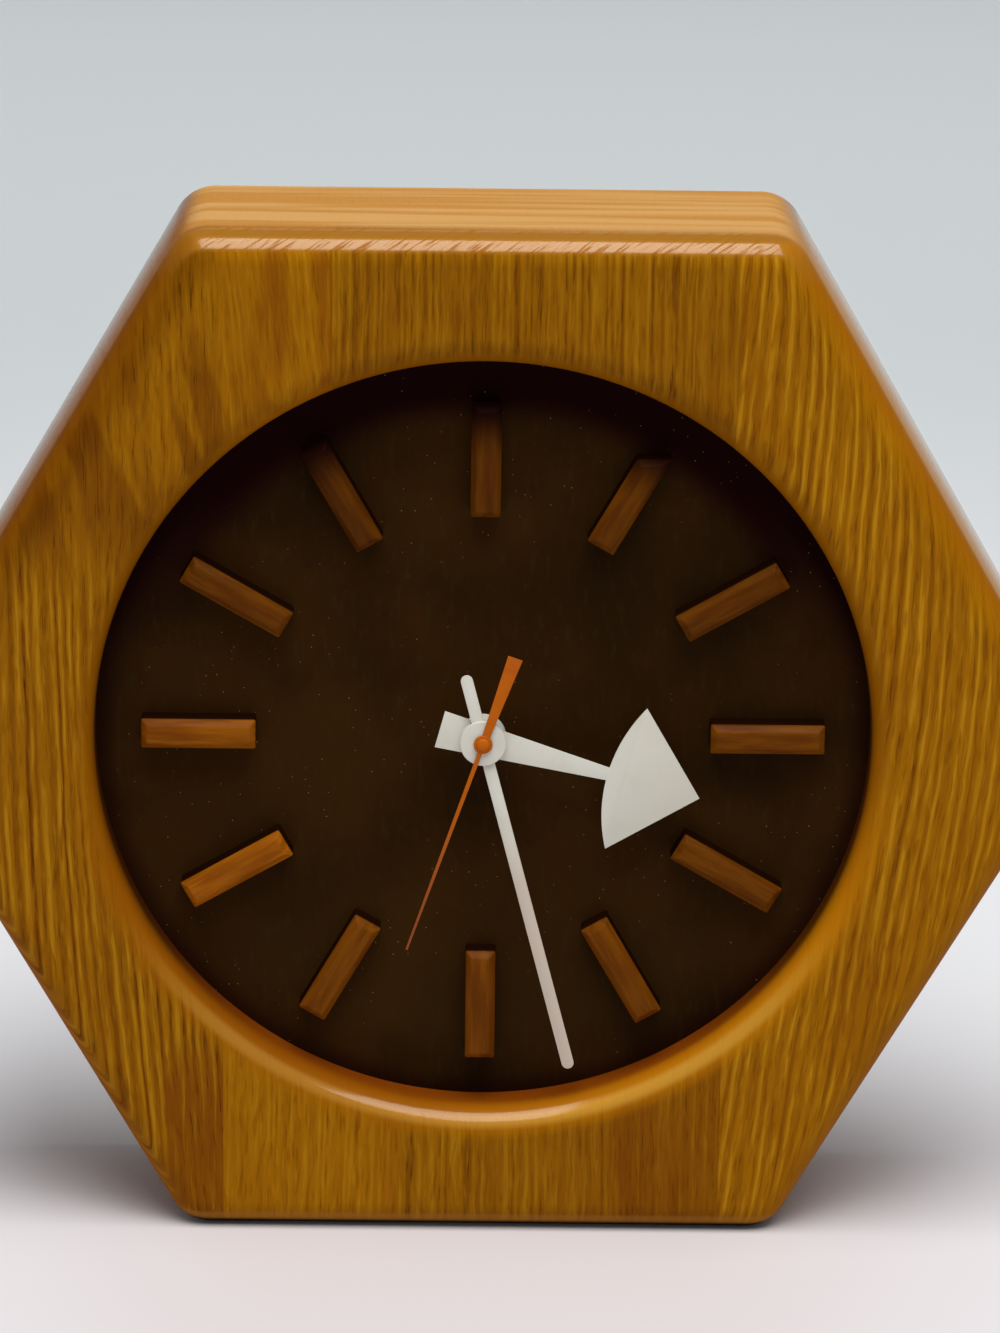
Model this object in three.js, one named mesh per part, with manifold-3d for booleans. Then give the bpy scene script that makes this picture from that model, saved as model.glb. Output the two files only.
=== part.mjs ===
// A hexagonal wall clock of solid oak: a round dial set back in the case, raised hour blocks,
// three hands, and a small battery movement screwed to the back of the dial.
// Millimetres, +Z up. The front faces -Y and the clock stands on its bottom flat at z = 0,
// with the middle of its depth at y = 0.

import * as THREE from 'three';
import { mergeVertices } from 'three/addons/utils/BufferGeometryUtils.js';
import Module from 'manifold-3d';

const wasm = await Module();
wasm.setup();

// Case
const flatToFlat = 280;
const caseDepth = 63;
const caseCornerRadius = 12;
const frontRounding = 8;
const backRounding = 2;
const wallAtFlats = 27;          // wood between the rear rebate and a flat side
const rebateLedge = 8;           // ledge that the dial rests against
const lipRounding = 8;
const dialRecess = 15.6;         // front face of the case to the dial's face

// Glue seams between the boards, from the middle of the clock
const leftSeam = -70;
const rightSeam = 66;
const topSeam = -41;
const bottomSeam = -22;

// Dial and hour blocks
const dialThickness = 3.2;
const dialClearance = 0.5;
const hourCount = 12;
const blockWidth = 8.6;
const blockLength = 30.9;
const blockHeight = 8;
const blockChamfer = 1.4;
const blockToOpening = 12.6;     // outer end of a block to the wall of the opening

// Hands
const handThickness = 0.5;
const handGap = 1.4;             // free height between one hand and the next
const minuteOverBlocks = 3.2;    // minute hand above the tops of the hour blocks
const hubRadius = 6.2;
const hubSeat = 0.4;             // how far a hub stands out behind its hand
const hourTipGap = 0.7;          // hour hand's tip to the hour blocks
const hourFanSide = 29.2;
const hourFanBulge = 5.2;        // rise of the fan's curved inner edge
const hourNeckWidth = 3.6;
const hourTailWidth = 10.5;
const hourTail = 12.1;
const minuteTipGap = 8.5;        // minute hand's tip to the wall of the opening
const minuteTail = 19.5;
const minuteWidth = 3.3;
const secondTip = 62;
const secondTail = 25.8;
const secondTipWidth = 0.6;
const secondRootWidth = 1.5;
const secondTailWidth = 4.3;
const secondTailRootWidth = 2.2;
const secondHubRadius = 2.55;
const socketHeadRadius = 1.8;
const socketHeadHeight = 1.1;
const socketWall = 0.5;
const socketHeadChamfer = 0.4;
const socketTail = 1.1;          // how far the socket reaches behind the second hand
const hourAngle = 105.04;        // degrees clockwise from twelve, at rest
const minuteAngle = 165.24;
const secondAngle = 199;

// Shafts, one inside the next
const runningGap = 0.35;         // radial gap between parts that turn
const arborRadius = 0.5;
const tubeWall = 0.5;
const bushWall = 0.6;
const pressGap = 0.05;           // radial gap between parts pressed together

// Movement case
const movementSize = 56;         // width; the height follows from the train and the battery
const movementDepth = 17;
const shellWall = 1.4;
const dividerWall = 1.2;
const trainClearance = 0.5;      // widest wheel to the wall between train and battery
const statorMargin = 1.9;        // top of the stator to the movement's top wall
const fitGap = 0.3;              // gap between fixed parts that fit together
const earReach = 8;
const earHeight = 12;
const earThickness = 2;
const skirtDepth = 2;
const skirtWall = 0.8;
const bearingRadius = 1.5;
const bearingDepth = 1.6;
const pivotDepth = 0.7;          // how far an arbor enters the front wall

// Gear train: tooth counts and modules
const cannonTeeth = 10;
const minuteTeeth = 30;
const minutePinionTeeth = 8;
const hourTeeth = 32;
const knobTeeth = 10;
const motionModule = 0.58;
const centreTeeth = 64;
const thirdPinionTeeth = 8;
const thirdTeeth = 60;
const secondsPinionTeeth = 8;
const thirdModule = 0.31;
const secondsTeeth = 60;
const intermediatePinionTeeth = 12;
const intermediateTeeth = 48;
const rotorTeeth = 8;
const fastModule = 0.3;
const toothHeight = 0.7;         // of a module, above the pitch circle
const toothDepth = 1;            // of a module, below it
const toothTip = 0.18;           // width at the tip, of the pitch
const toothFoot = 0.54;          // width at the foot
const wheelThickness = 1;
const layerGap = 0.7;            // free height between the front gear layers
const minuteWheelAngle = 0;      // directions between axles, degrees from +X
const knobAngle = 50;
const thirdAngle = 150;
const intermediateAngle = 60;
const rotorAngle = 90;

// Setting knob
const knobArborRadius = 1.5;
const knobRadius = 6.5;
const knobHeight = 3.8;
const knobClearance = 0.6;
const knobRidges = 18;
const knobRidgeDepth = 0.4;

// Motor
const magnetRadius = 3.2;
const magnetLength = 2.4;
const statorThickness = 1.2;
const statorReach = 5.6;         // rotor's axis to the stator's right edge
const statorWeb = 11.4;          // rotor's axis to the stator's left window
const statorArm = 3;
const statorHeight = 13.9;
const coilOffset = 25.4;         // rotor's axis to the coil's axis
const coreWidth = 3;
const bobbinWall = 0.5;
const bobbinFlange = 0.6;
const coilRadius = 3.4;
const windingSink = 0.2;         // flange's rim to the winding
const postRadius = 1.3;
const postInset = 2;             // circuit board's edges to a post's axis

// Circuit board, battery and contacts
const boardWidth = 12;
const boardHeight = 13;
const boardThickness = 1;
const boardInset = 0.6;
const boardLift = 6.3;
const chipSize = 4.4;
const chipHeight = 0.9;
const crystalRadius = 1.2;
const crystalLength = 6.4;
const crystalLift = 0.1;
const partSpacing = 6;           // chip's middle to the crystal's axis
const chipInset = 3.6;           // board's left edge to the chip's middle
const batteryRadius = 7.1;
const batteryLength = 49.2;
const batteryNubRadius = 2.7;
const batteryNubLength = 1.3;
const batteryBevel = 0.6;
const batteryPlay = 0.5;
const springRoom = 2;            // flat end of the battery to the wall behind the leaf spring
const contactThickness = 0.4;
const contactWidth = 10;
const contactTouch = 1.6;        // height of the leaf's flat against the battery

// Hanger and screws
const hangerWidth = 46;
const hangerHeight = 16;
const hangerThickness = 1.5;
const hangerSink = 1.5;          // back face of the case to the back of the plate
const keyholeRadius = 4.5;
const keySlotWidth = 4.4;
const keySlotLength = 5.4;
const keyholeFoot = 2;           // plate's lower edge to the round part of the keyhole
const nailPocketDepth = 9;
const nailPocketMargin = 2;      // pocket's edge to the keyhole's, and to the plate's
const hangerScrewSpacing = 34;
const screwHeadHeight = 1.2;
const caseScrewRadius = 1.25;
const caseScrewHead = 2.7;
const dialScrewLength = 10;
const hangerScrewLength = 12;
const movementScrewRadius = 1;
const movementScrewHead = 2.2;
const movementScrewBite = 2.2;   // how far a movement screw enters the dial
const slotWidth = 0.7;
const slotDepth = 0.6;

// Smoothness of round shapes
const openingSegments = 96;
const roundingSteps = 5;
const backSteps = 2;
const cornerSteps = 6;
const rodSegments = 16;
const hubSegments = 32;
const handArcSteps = 10;

const over = 1;                  // how far a cutter runs past the face that it cuts
const weld = 0.1;                // overlap that joins two forms of one piece

// Places that follow from the sizes
const centreHeight = flatToFlat / 2;
const frontY = -caseDepth / 2;
const backY = caseDepth / 2;
const rebateRadius = flatToFlat / 2 - wallAtFlats;
const openingRadius = rebateRadius - rebateLedge;
const dialFaceY = frontY + dialRecess;
const dialBackY = dialFaceY + dialThickness;
const blockOuter = openingRadius - blockToOpening;
const blockInner = blockOuter - blockLength;
const minuteY = dialFaceY - blockHeight - minuteOverBlocks;
const hourY = minuteY + handGap + handThickness;
const secondY = minuteY - handGap - handThickness;
const cannonBore = arborRadius + runningGap;
const cannonRadius = cannonBore + tubeWall;
const pipeBore = cannonRadius + runningGap;
const pipeRadius = pipeBore + tubeWall;
const bushBore = pipeRadius + runningGap;
const bushRadius = bushBore + bushWall;

const floorY = dialBackY + shellWall;           // inner face of the movement's front wall
const coverY = dialBackY + movementDepth;       // inner face of its rear cover
const innerHalf = movementSize / 2 - shellWall;
const hourWheelY = floorY + fitGap;
const minuteWheelY = hourWheelY + wheelThickness + layerGap;
const centreWheelY = minuteWheelY + wheelThickness + layerGap;
const rearRoom = coverY - bearingDepth - centreWheelY - 4 * wheelThickness;
const rearGap = rearRoom / 9;                   // free depth behind the centre wheel, in nine parts
const thirdWheelY = centreWheelY + wheelThickness + 4 * rearGap;
const secondsWheelY = thirdWheelY + wheelThickness + 2 * rearGap;
const fastWheelY = secondsWheelY + wheelThickness + 2 * rearGap;
const statorY = centreWheelY;
const coreY = statorY + statorThickness;
const boardY = floorY + boardLift;
const knobY = coverY + shellWall + knobClearance;

const oak = { color: 0x8e5a12, roughness: 0.35, metalness: 0 };
const darkBoard = { color: 0x281808, roughness: 0.6, metalness: 0 };
const blockWood = { color: 0x613509, roughness: 0.4, metalness: 0 };
const whitePaint = { color: 0xc3c0b2, roughness: 0.5, metalness: 0 };
const orangePaint = { color: 0xbe550a, roughness: 0.45, metalness: 0 };
const blackPlastic = { color: 0x141416, roughness: 0.5, metalness: 0 };
const whitePlastic = { color: 0xd8d6cc, roughness: 0.45, metalness: 0 };
const brass = { color: 0xc9a04a, roughness: 0.3, metalness: 1 };
const steel = { color: 0xb4b6b8, roughness: 0.3, metalness: 1 };
const magnetMetal = { color: 0x4a4b4e, roughness: 0.4, metalness: 1 };
const copper = { color: 0xb5622b, roughness: 0.35, metalness: 1 };
const greenBoard = { color: 0x1e5a30, roughness: 0.5, metalness: 0 };
const batteryLabel = { color: 0x2f3a44, roughness: 0.4, metalness: 0 };

const clock = new THREE.Group();
const works = new THREE.Group();     // everything placed about the hands' axis
works.position.z = centreHeight;
clock.add(works);

function addPiece(name, solid, look, parent = works) {
  const mesh = new THREE.Mesh(toGeometry(solid), new THREE.MeshStandardMaterial(look));
  mesh.name = name;
  parent.add(mesh);
  return mesh;
}

function axleAt(x, z) {
  const axle = new THREE.Group();
  axle.position.set(x, 0, z);
  works.add(axle);
  return axle;
}

// Closed three.js geometry to a solid, with its faces turned outwards
function toSolid(geometry) {
  const bare = geometry.clone();
  bare.deleteAttribute('normal');
  bare.deleteAttribute('uv');
  const merged = mergeVertices(bare, 1e-5);
  const points = merged.attributes.position.array;
  const index = merged.index.array;
  const triangles = [];
  let volume = 0;
  for (let i = 0; i < index.length; i += 3) {
    const [a, b, c] = [index[i], index[i + 1], index[i + 2]];
    if (a === b || b === c || c === a) continue;
    triangles.push(a, b, c);
    const [p, q, r] = [a, b, c].map((k) => new THREE.Vector3().fromArray(points, 3 * k));
    volume += p.dot(q.cross(r));
  }
  if (volume < 0) triangles.reverse();
  return new wasm.Manifold(new wasm.Mesh({
    numProp: 3,
    vertProperties: Float32Array.from(points),
    triVerts: Uint32Array.from(triangles),
  }));
}

function toGeometry(solid) {
  const mesh = solid.getMesh();
  const geometry = new THREE.BufferGeometry();
  geometry.setAttribute('position', new THREE.BufferAttribute(mesh.vertProperties, 3));
  geometry.setIndex(new THREE.BufferAttribute(mesh.triVerts, 1));
  const flat = geometry.toNonIndexed();
  flat.computeVertexNormals();
  return flat;
}

// Solid through rings of equally many points, closed by flat ends
function loft(rings) {
  const count = rings[0].length;
  const index = [];
  for (let r = 0; r + 1 < rings.length; r += 1) {
    for (let i = 0; i < count; i += 1) {
      const a = r * count + i;
      const b = r * count + (i + 1) % count;
      index.push(a, b, b + count, a, b + count, a + count);
    }
  }
  const last = (rings.length - 1) * count;
  for (let i = 1; i + 1 < count; i += 1) {
    index.push(0, i + 1, i, last, last + i, last + i + 1);
  }
  const geometry = new THREE.BufferGeometry();
  geometry.setFromPoints(rings.flat());
  geometry.setIndex(index);
  return toSolid(geometry);
}

// Flat piece drawn as seen from the front, from its back face at y forwards
function plate(shape, y, thickness, curveSegments = 12) {
  const geometry = new THREE.ExtrudeGeometry(shape, {
    depth: thickness, bevelEnabled: false, curveSegments,
  });
  geometry.rotateX(Math.PI / 2);
  geometry.translate(0, y, 0);
  return toSolid(geometry);
}

// Round bar along the depth of the clock
function rod(radius, fromY, toY, segments = rodSegments) {
  const geometry = new THREE.CylinderGeometry(radius, radius, toY - fromY, segments);
  geometry.translate(0, (fromY + toY) / 2, 0);
  return toSolid(geometry);
}

function tube(radius, bore, fromY, toY, segments = rodSegments) {
  return rod(radius, fromY, toY, segments).subtract(rod(bore, fromY - over, toY + over, segments));
}

function block(fromX, toX, fromY, toY, fromZ, toZ) {
  const geometry = new THREE.BoxGeometry(toX - fromX, toY - fromY, toZ - fromZ);
  geometry.translate((fromX + toX) / 2, (fromY + toY) / 2, (fromZ + toZ) / 2);
  return toSolid(geometry);
}

function lathe(profile, segments) {
  return toSolid(new THREE.LatheGeometry(profile.map(([r, y]) => new THREE.Vector2(r, y)), segments));
}

const radians = THREE.MathUtils.degToRad;

// Hexagon outline with rounded corners, flat at top and bottom, drawn in by an inset
function hexagonRing(inset, y) {
  const radius = caseCornerRadius - inset;
  const reach = (flatToFlat / 2 - caseCornerRadius) / Math.cos(Math.PI / 6);
  const ring = [];
  for (let corner = 0; corner < 6; corner += 1) {
    const middle = corner * Math.PI / 3;
    for (let i = 0; i <= cornerSteps; i += 1) {
      const angle = middle + (i / cornerSteps - 0.5) * Math.PI / 3;
      const x = reach * Math.cos(middle) + radius * Math.cos(angle);
      const z = reach * Math.sin(middle) + radius * Math.sin(angle);
      ring.push(new THREE.Vector3(x, y, centreHeight + z));
    }
  }
  return ring;
}

function caseBlank() {
  const rings = [];
  for (let i = 0; i <= roundingSteps; i += 1) {
    const turn = i / roundingSteps * Math.PI / 2;
    const y = frontY + frontRounding * (1 - Math.cos(turn));
    rings.push(hexagonRing(frontRounding * (1 - Math.sin(turn)), y));
  }
  for (let i = 0; i <= backSteps; i += 1) {
    const turn = i / backSteps * Math.PI / 2;
    const y = backY - backRounding * (1 - Math.sin(turn));
    rings.push(hexagonRing(backRounding * (1 - Math.cos(turn)), y));
  }
  return loft(rings);
}

// Opening with its rounded lip, and the wider rebate behind it for the dial
function openingCutter() {
  const profile = [[0, frontY - over], [openingRadius + lipRounding, frontY - over]];
  for (let i = 0; i <= roundingSteps; i += 1) {
    const turn = i / roundingSteps * Math.PI / 2;
    const r = openingRadius + lipRounding * (1 - Math.sin(turn));
    profile.push([r, frontY + lipRounding * (1 - Math.cos(turn))]);
  }
  profile.push([openingRadius, dialFaceY], [rebateRadius, dialFaceY], [rebateRadius, backY + over]);
  profile.push([0, backY + over]);
  return lathe(profile, openingSegments).translate([0, 0, centreHeight]);
}

// Places of the fasteners
const hangerZ = flatToFlat - wallAtFlats / 2;
const dialScrewRing = openingRadius + rebateLedge / 2;
const dialScrews = [45, 135, 225, 315].map((degrees) => ({
  x: dialScrewRing * Math.cos(radians(degrees)),
  z: dialScrewRing * Math.sin(radians(degrees)),
}));
const hangerPlateY = backY - hangerSink - hangerThickness;

function woodCutters() {
  const holes = dialScrews.map(({ x, z }) => rod(
    caseScrewRadius + fitGap, dialBackY - dialScrewLength - fitGap, dialFaceY + over,
  ).translate([x, 0, centreHeight + z]));
  const screwTipY = hangerPlateY + hangerThickness - hangerScrewLength;
  for (const side of [-1, 1]) {
    const hole = rod(caseScrewRadius + fitGap, screwTipY - fitGap, hangerPlateY + over);
    holes.push(hole.translate([side * hangerScrewSpacing / 2, 0, hangerZ]));
  }
  const halfWidth = hangerWidth / 2 + fitGap;
  const halfHeight = hangerHeight / 2 + fitGap;
  const pocketHalfWidth = keyholeRadius + nailPocketMargin;
  const pocketHalfHeight = halfHeight - nailPocketMargin;
  holes.push(block(
    -halfWidth, halfWidth, hangerPlateY, backY + over, hangerZ - halfHeight, hangerZ + halfHeight,
  ));
  holes.push(block(
    -pocketHalfWidth, pocketHalfWidth, hangerPlateY - nailPocketDepth, hangerPlateY + over,
    hangerZ - pocketHalfHeight, hangerZ + pocketHalfHeight,
  ));
  return holes;
}

function buildCase() {
  let ring = caseBlank().subtract(openingCutter());
  for (const hole of woodCutters()) ring = ring.subtract(hole);
  const far = flatToFlat;
  const slice = (fromX, toX, fromZ, toZ) => ring.intersect(block(fromX, toX, -far, far, fromZ, toZ));
  const whole = [-over, flatToFlat + over];
  const above = [centreHeight, flatToFlat + over];
  const below = [-over, centreHeight];
  addPiece('board_left', slice(-far, leftSeam, ...whole), oak, clock);
  addPiece('board_right', slice(rightSeam, far, ...whole), oak, clock);
  addPiece('board_top_left', slice(leftSeam, topSeam, ...above), oak, clock);
  addPiece('board_top_middle', slice(topSeam, rightSeam, ...above), oak, clock);
  addPiece('board_bottom_left', slice(leftSeam, bottomSeam, ...below), oak, clock);
  addPiece('board_bottom_middle', slice(bottomSeam, rightSeam, ...below), oak, clock);
}

function buildDial() {
  let dial = tube(rebateRadius - dialClearance, bushRadius + fitGap, dialFaceY, dialBackY, openingSegments);
  for (const { x, z } of dialScrews) {
    const hole = rod(caseScrewRadius + fitGap, dialFaceY - over, dialBackY + over);
    dial = dial.subtract(hole.translate([x, 0, z]));
  }
  for (const side of [-1, 1]) {
    const hole = rod(
      movementScrewRadius + fitGap, dialBackY - movementScrewBite - fitGap, dialBackY + over,
    );
    dial = dial.subtract(hole.translate([side * earScrewX, 0, 0]));
  }
  addPiece('dial_plate', dial, darkBoard);
}

// One hour block, lying along +Z with its foot on the dial
function blockRing(inset, y) {
  const x = blockWidth / 2 - inset;
  const low = blockInner + inset;
  const high = blockOuter - inset;
  return [[-x, low], [x, low], [x, high], [-x, high]].map(([px, pz]) => new THREE.Vector3(px, y, pz));
}

function buildHourBlocks() {
  for (let hour = 1; hour <= hourCount; hour += 1) {
    const solid = loft([
      blockRing(0, dialFaceY),
      blockRing(0, dialFaceY - blockHeight + blockChamfer),
      blockRing(blockChamfer, dialFaceY - blockHeight),
    ]);
    const mesh = addPiece(`hour_block_${String(hour).padStart(2, '0')}`, solid, blockWood);
    mesh.rotation.y = hour / hourCount * 2 * Math.PI;
  }
}

// Tapered arm, curved inner edge and right-angled tip, pointing along +Z
function hourHandShape() {
  const tip = blockInner - hourTipGap;
  const half = hourFanSide * Math.SQRT1_2;
  const shoulder = tip - half;
  const curve = (half * half + hourFanBulge * hourFanBulge) / (2 * hourFanBulge);
  const curveZ = shoulder - hourFanBulge + curve;
  const neck = hourNeckWidth / 2;
  const neckZ = curveZ - Math.sqrt(curve * curve - neck * neck);
  const neckTurn = Math.asin(neck / curve);
  const shoulderTurn = Math.asin(half / curve);
  const down = -Math.PI / 2;
  const shape = new THREE.Shape();
  shape.moveTo(-hourTailWidth / 2, -hourTail);
  shape.lineTo(hourTailWidth / 2, -hourTail);
  shape.lineTo(neck, neckZ);
  shape.absarc(0, curveZ, curve, down + neckTurn, down + shoulderTurn, false);
  shape.lineTo(0, tip);
  shape.lineTo(-half, shoulder);
  shape.absarc(0, curveZ, curve, down - shoulderTurn, down - neckTurn, false);
  shape.closePath();
  return shape;
}

function minuteHandShape() {
  const half = minuteWidth / 2;
  const tip = openingRadius - minuteTipGap;
  const shape = new THREE.Shape();
  shape.moveTo(half, half - minuteTail);
  shape.lineTo(half, tip - half);
  shape.absarc(0, tip - half, half, 0, Math.PI, false);
  shape.lineTo(-half, half - minuteTail);
  shape.absarc(0, half - minuteTail, half, Math.PI, 2 * Math.PI, false);
  return shape;
}

function secondHandShape() {
  const outline = [
    [-secondTailWidth / 2, -secondTail], [secondTailWidth / 2, -secondTail],
    [secondTailRootWidth / 2, 0], [secondRootWidth / 2, 0], [secondTipWidth / 2, secondTip],
    [-secondTipWidth / 2, secondTip], [-secondRootWidth / 2, 0], [-secondTailRootWidth / 2, 0],
  ];
  return new THREE.Shape(outline.map(([x, z]) => new THREE.Vector2(x, z)));
}

// A hand with its round hub and bore, turned to its place at rest
function addHand(name, shape, backFaceY, shaftRadius, degrees) {
  const frontFaceY = backFaceY - handThickness;
  const hub = rod(hubRadius, frontFaceY, backFaceY + hubSeat, hubSegments);
  const bore = rod(shaftRadius + fitGap, frontFaceY - over, backFaceY + hubSeat + over);
  const solid = plate(shape, backFaceY, handThickness, handArcSteps).add(hub).subtract(bore);
  addPiece(name, solid, whitePaint).rotation.y = radians(degrees);
}

function buildHands() {
  addHand('hour_hand', hourHandShape(), hourY, pipeRadius, hourAngle);
  addHand('minute_hand', minuteHandShape(), minuteY, cannonRadius, minuteAngle);

  const stem = arborRadius + fitGap + socketWall;
  const frontFaceY = secondY - handThickness;
  const hub = rod(secondHubRadius, frontFaceY, secondY, hubSegments);
  const bore = rod(stem + fitGap, frontFaceY - over, secondY + over);
  const hand = plate(secondHandShape(), secondY, handThickness).add(hub).subtract(bore);
  addPiece('second_hand', hand, orangePaint).rotation.y = radians(secondAngle);

  const headY = frontFaceY - socketHeadHeight;
  const socket = rod(stem, frontFaceY - weld, secondY + socketTail)
    .add(lathe([
      [0, headY], [socketHeadRadius - socketHeadChamfer, headY],
      [socketHeadRadius, headY + socketHeadChamfer], [socketHeadRadius, frontFaceY], [0, frontFaceY],
    ], hubSegments))
    .subtract(rod(arborRadius + fitGap, headY + socketWall, secondY + socketTail + over));
  addPiece('second_hand_socket', socket, orangePaint);
}

// Gear outline with one tooth centred on the phase angle
function gearShape(teeth, module, phase) {
  const pitchRadius = teeth * module / 2;
  const foot = pitchRadius - toothDepth * module;
  const tip = pitchRadius + toothHeight * module;
  const step = 2 * Math.PI / teeth;
  const corners = [
    [-toothFoot / 2, foot], [-toothTip / 2, tip], [toothTip / 2, tip], [toothFoot / 2, foot],
  ];
  const points = [];
  for (let i = 0; i < teeth; i += 1) {
    for (const [share, radius] of corners) {
      const angle = phase + (i + share) * step;
      points.push(new THREE.Vector2(radius * Math.cos(angle), radius * Math.sin(angle)));
    }
  }
  return new THREE.Shape(points);
}

function gear(teeth, module, phase, fromY, toY) {
  return plate(gearShape(teeth, module, phase), toY, toY - fromY);
}

// Phase of a gear that meshes with another, the line between them running at the given angle
function meshPhase(teethA, phaseA, teethB, direction) {
  return direction + Math.PI + Math.PI / teethB - (phaseA - direction) * teethA / teethB;
}

function centreDistance(teethA, teethB, module) {
  return (teethA + teethB) * module / 2;
}

function polar(distance, degrees, from = { x: 0, z: 0 }) {
  return {
    x: from.x + distance * Math.cos(radians(degrees)),
    z: from.z + distance * Math.sin(radians(degrees)),
  };
}

const motionDistance = centreDistance(cannonTeeth, minuteTeeth, motionModule);
const thirdDistance = centreDistance(thirdTeeth, secondsPinionTeeth, thirdModule);
const centreModule = 2 * thirdDistance / (centreTeeth + thirdPinionTeeth);
const intermediateDistance = centreDistance(secondsTeeth, intermediatePinionTeeth, fastModule);
const rotorDistance = centreDistance(intermediateTeeth, rotorTeeth, fastModule);
const minuteAxis = polar(motionDistance, minuteWheelAngle);
const knobAxis = polar(motionDistance, knobAngle, minuteAxis);
const thirdAxis = polar(thirdDistance, thirdAngle);
const intermediateAxis = polar(intermediateDistance, intermediateAngle);
const rotorAxis = polar(rotorDistance, rotorAngle, intermediateAxis);
const arborFrontY = floorY - pivotDepth;
const arborBackY = coverY - fitGap;
const earScrewX = movementSize / 2 + earReach / 2;
const statorLeft = rotorAxis.x - coilOffset - coreWidth / 2;
const statorBottom = rotorAxis.z - statorHeight / 2;
const statorTop = rotorAxis.z + statorHeight / 2;
const tipRadius = (teeth, module) => (teeth / 2 + toothHeight) * module;
const widestWheel = Math.max(
  tipRadius(hourTeeth, motionModule), tipRadius(centreTeeth, centreModule),
  tipRadius(secondsTeeth, fastModule),
);
const roomBottom = -widestWheel - trainClearance;
const roomTop = statorTop + statorMargin;
const bayTop = roomBottom - dividerWall;
const bayBottom = bayTop - 2 * (batteryRadius + batteryPlay);
const bayLeft = -batteryLength / 2 - springRoom;
const bayRight = batteryLength / 2 + batteryNubLength + fitGap + contactThickness;
const boardRight = innerHalf - boardInset;
const boardTop = roomTop - boardInset;

function buildMotionWork() {
  const minutePhase = meshPhase(cannonTeeth, 0, minuteTeeth, radians(minuteWheelAngle));
  const hourPhase = meshPhase(minutePinionTeeth, 0, hourTeeth, radians(minuteWheelAngle + 180));
  const knobPhase = meshPhase(minuteTeeth, minutePhase, knobTeeth, radians(knobAngle));

  const hourWheel = gear(hourTeeth, motionModule, hourPhase, hourWheelY, hourWheelY + wheelThickness)
    .add(rod(pipeRadius, hourY - handThickness, hourWheelY + wheelThickness))
    .subtract(rod(pipeBore, hourY - handThickness - over, hourWheelY + wheelThickness + over));
  addPiece('hour_wheel', hourWheel, whitePlastic);

  const tubeBackY = centreWheelY + wheelThickness + layerGap;
  const cannon = gear(cannonTeeth, motionModule, 0, minuteWheelY, minuteWheelY + wheelThickness)
    .add(rod(cannonRadius, minuteY - handThickness, tubeBackY))
    .subtract(rod(cannonBore, minuteY - handThickness - over, tubeBackY + over));
  addPiece('cannon_pinion', cannon, brass);

  const wheelBackY = minuteWheelY + wheelThickness;
  const minuteWheel = gear(minuteTeeth, motionModule, minutePhase, minuteWheelY, wheelBackY)
    .add(gear(minutePinionTeeth, motionModule, 0, hourWheelY, wheelBackY))
    .add(rod(arborRadius, arborFrontY, arborBackY));
  addPiece('minute_wheel', minuteWheel, whitePlastic, axleAt(minuteAxis.x, minuteAxis.z));

  const knobOutline = [];
  for (let i = 0; i < 2 * knobRidges; i += 1) {
    const angle = i / knobRidges * Math.PI;
    const radius = i % 2 ? knobRadius : knobRadius - knobRidgeDepth;
    knobOutline.push(new THREE.Vector2(radius * Math.cos(angle), radius * Math.sin(angle)));
  }
  const knob = gear(knobTeeth, motionModule, knobPhase, minuteWheelY, wheelBackY)
    .add(rod(arborRadius, arborFrontY, wheelBackY))
    .add(rod(knobArborRadius, wheelBackY, knobY + weld))
    .add(plate(new THREE.Shape(knobOutline), knobY + knobHeight, knobHeight));
  addPiece('setting_knob', knob, whitePlastic, axleAt(knobAxis.x, knobAxis.z));
}

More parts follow.
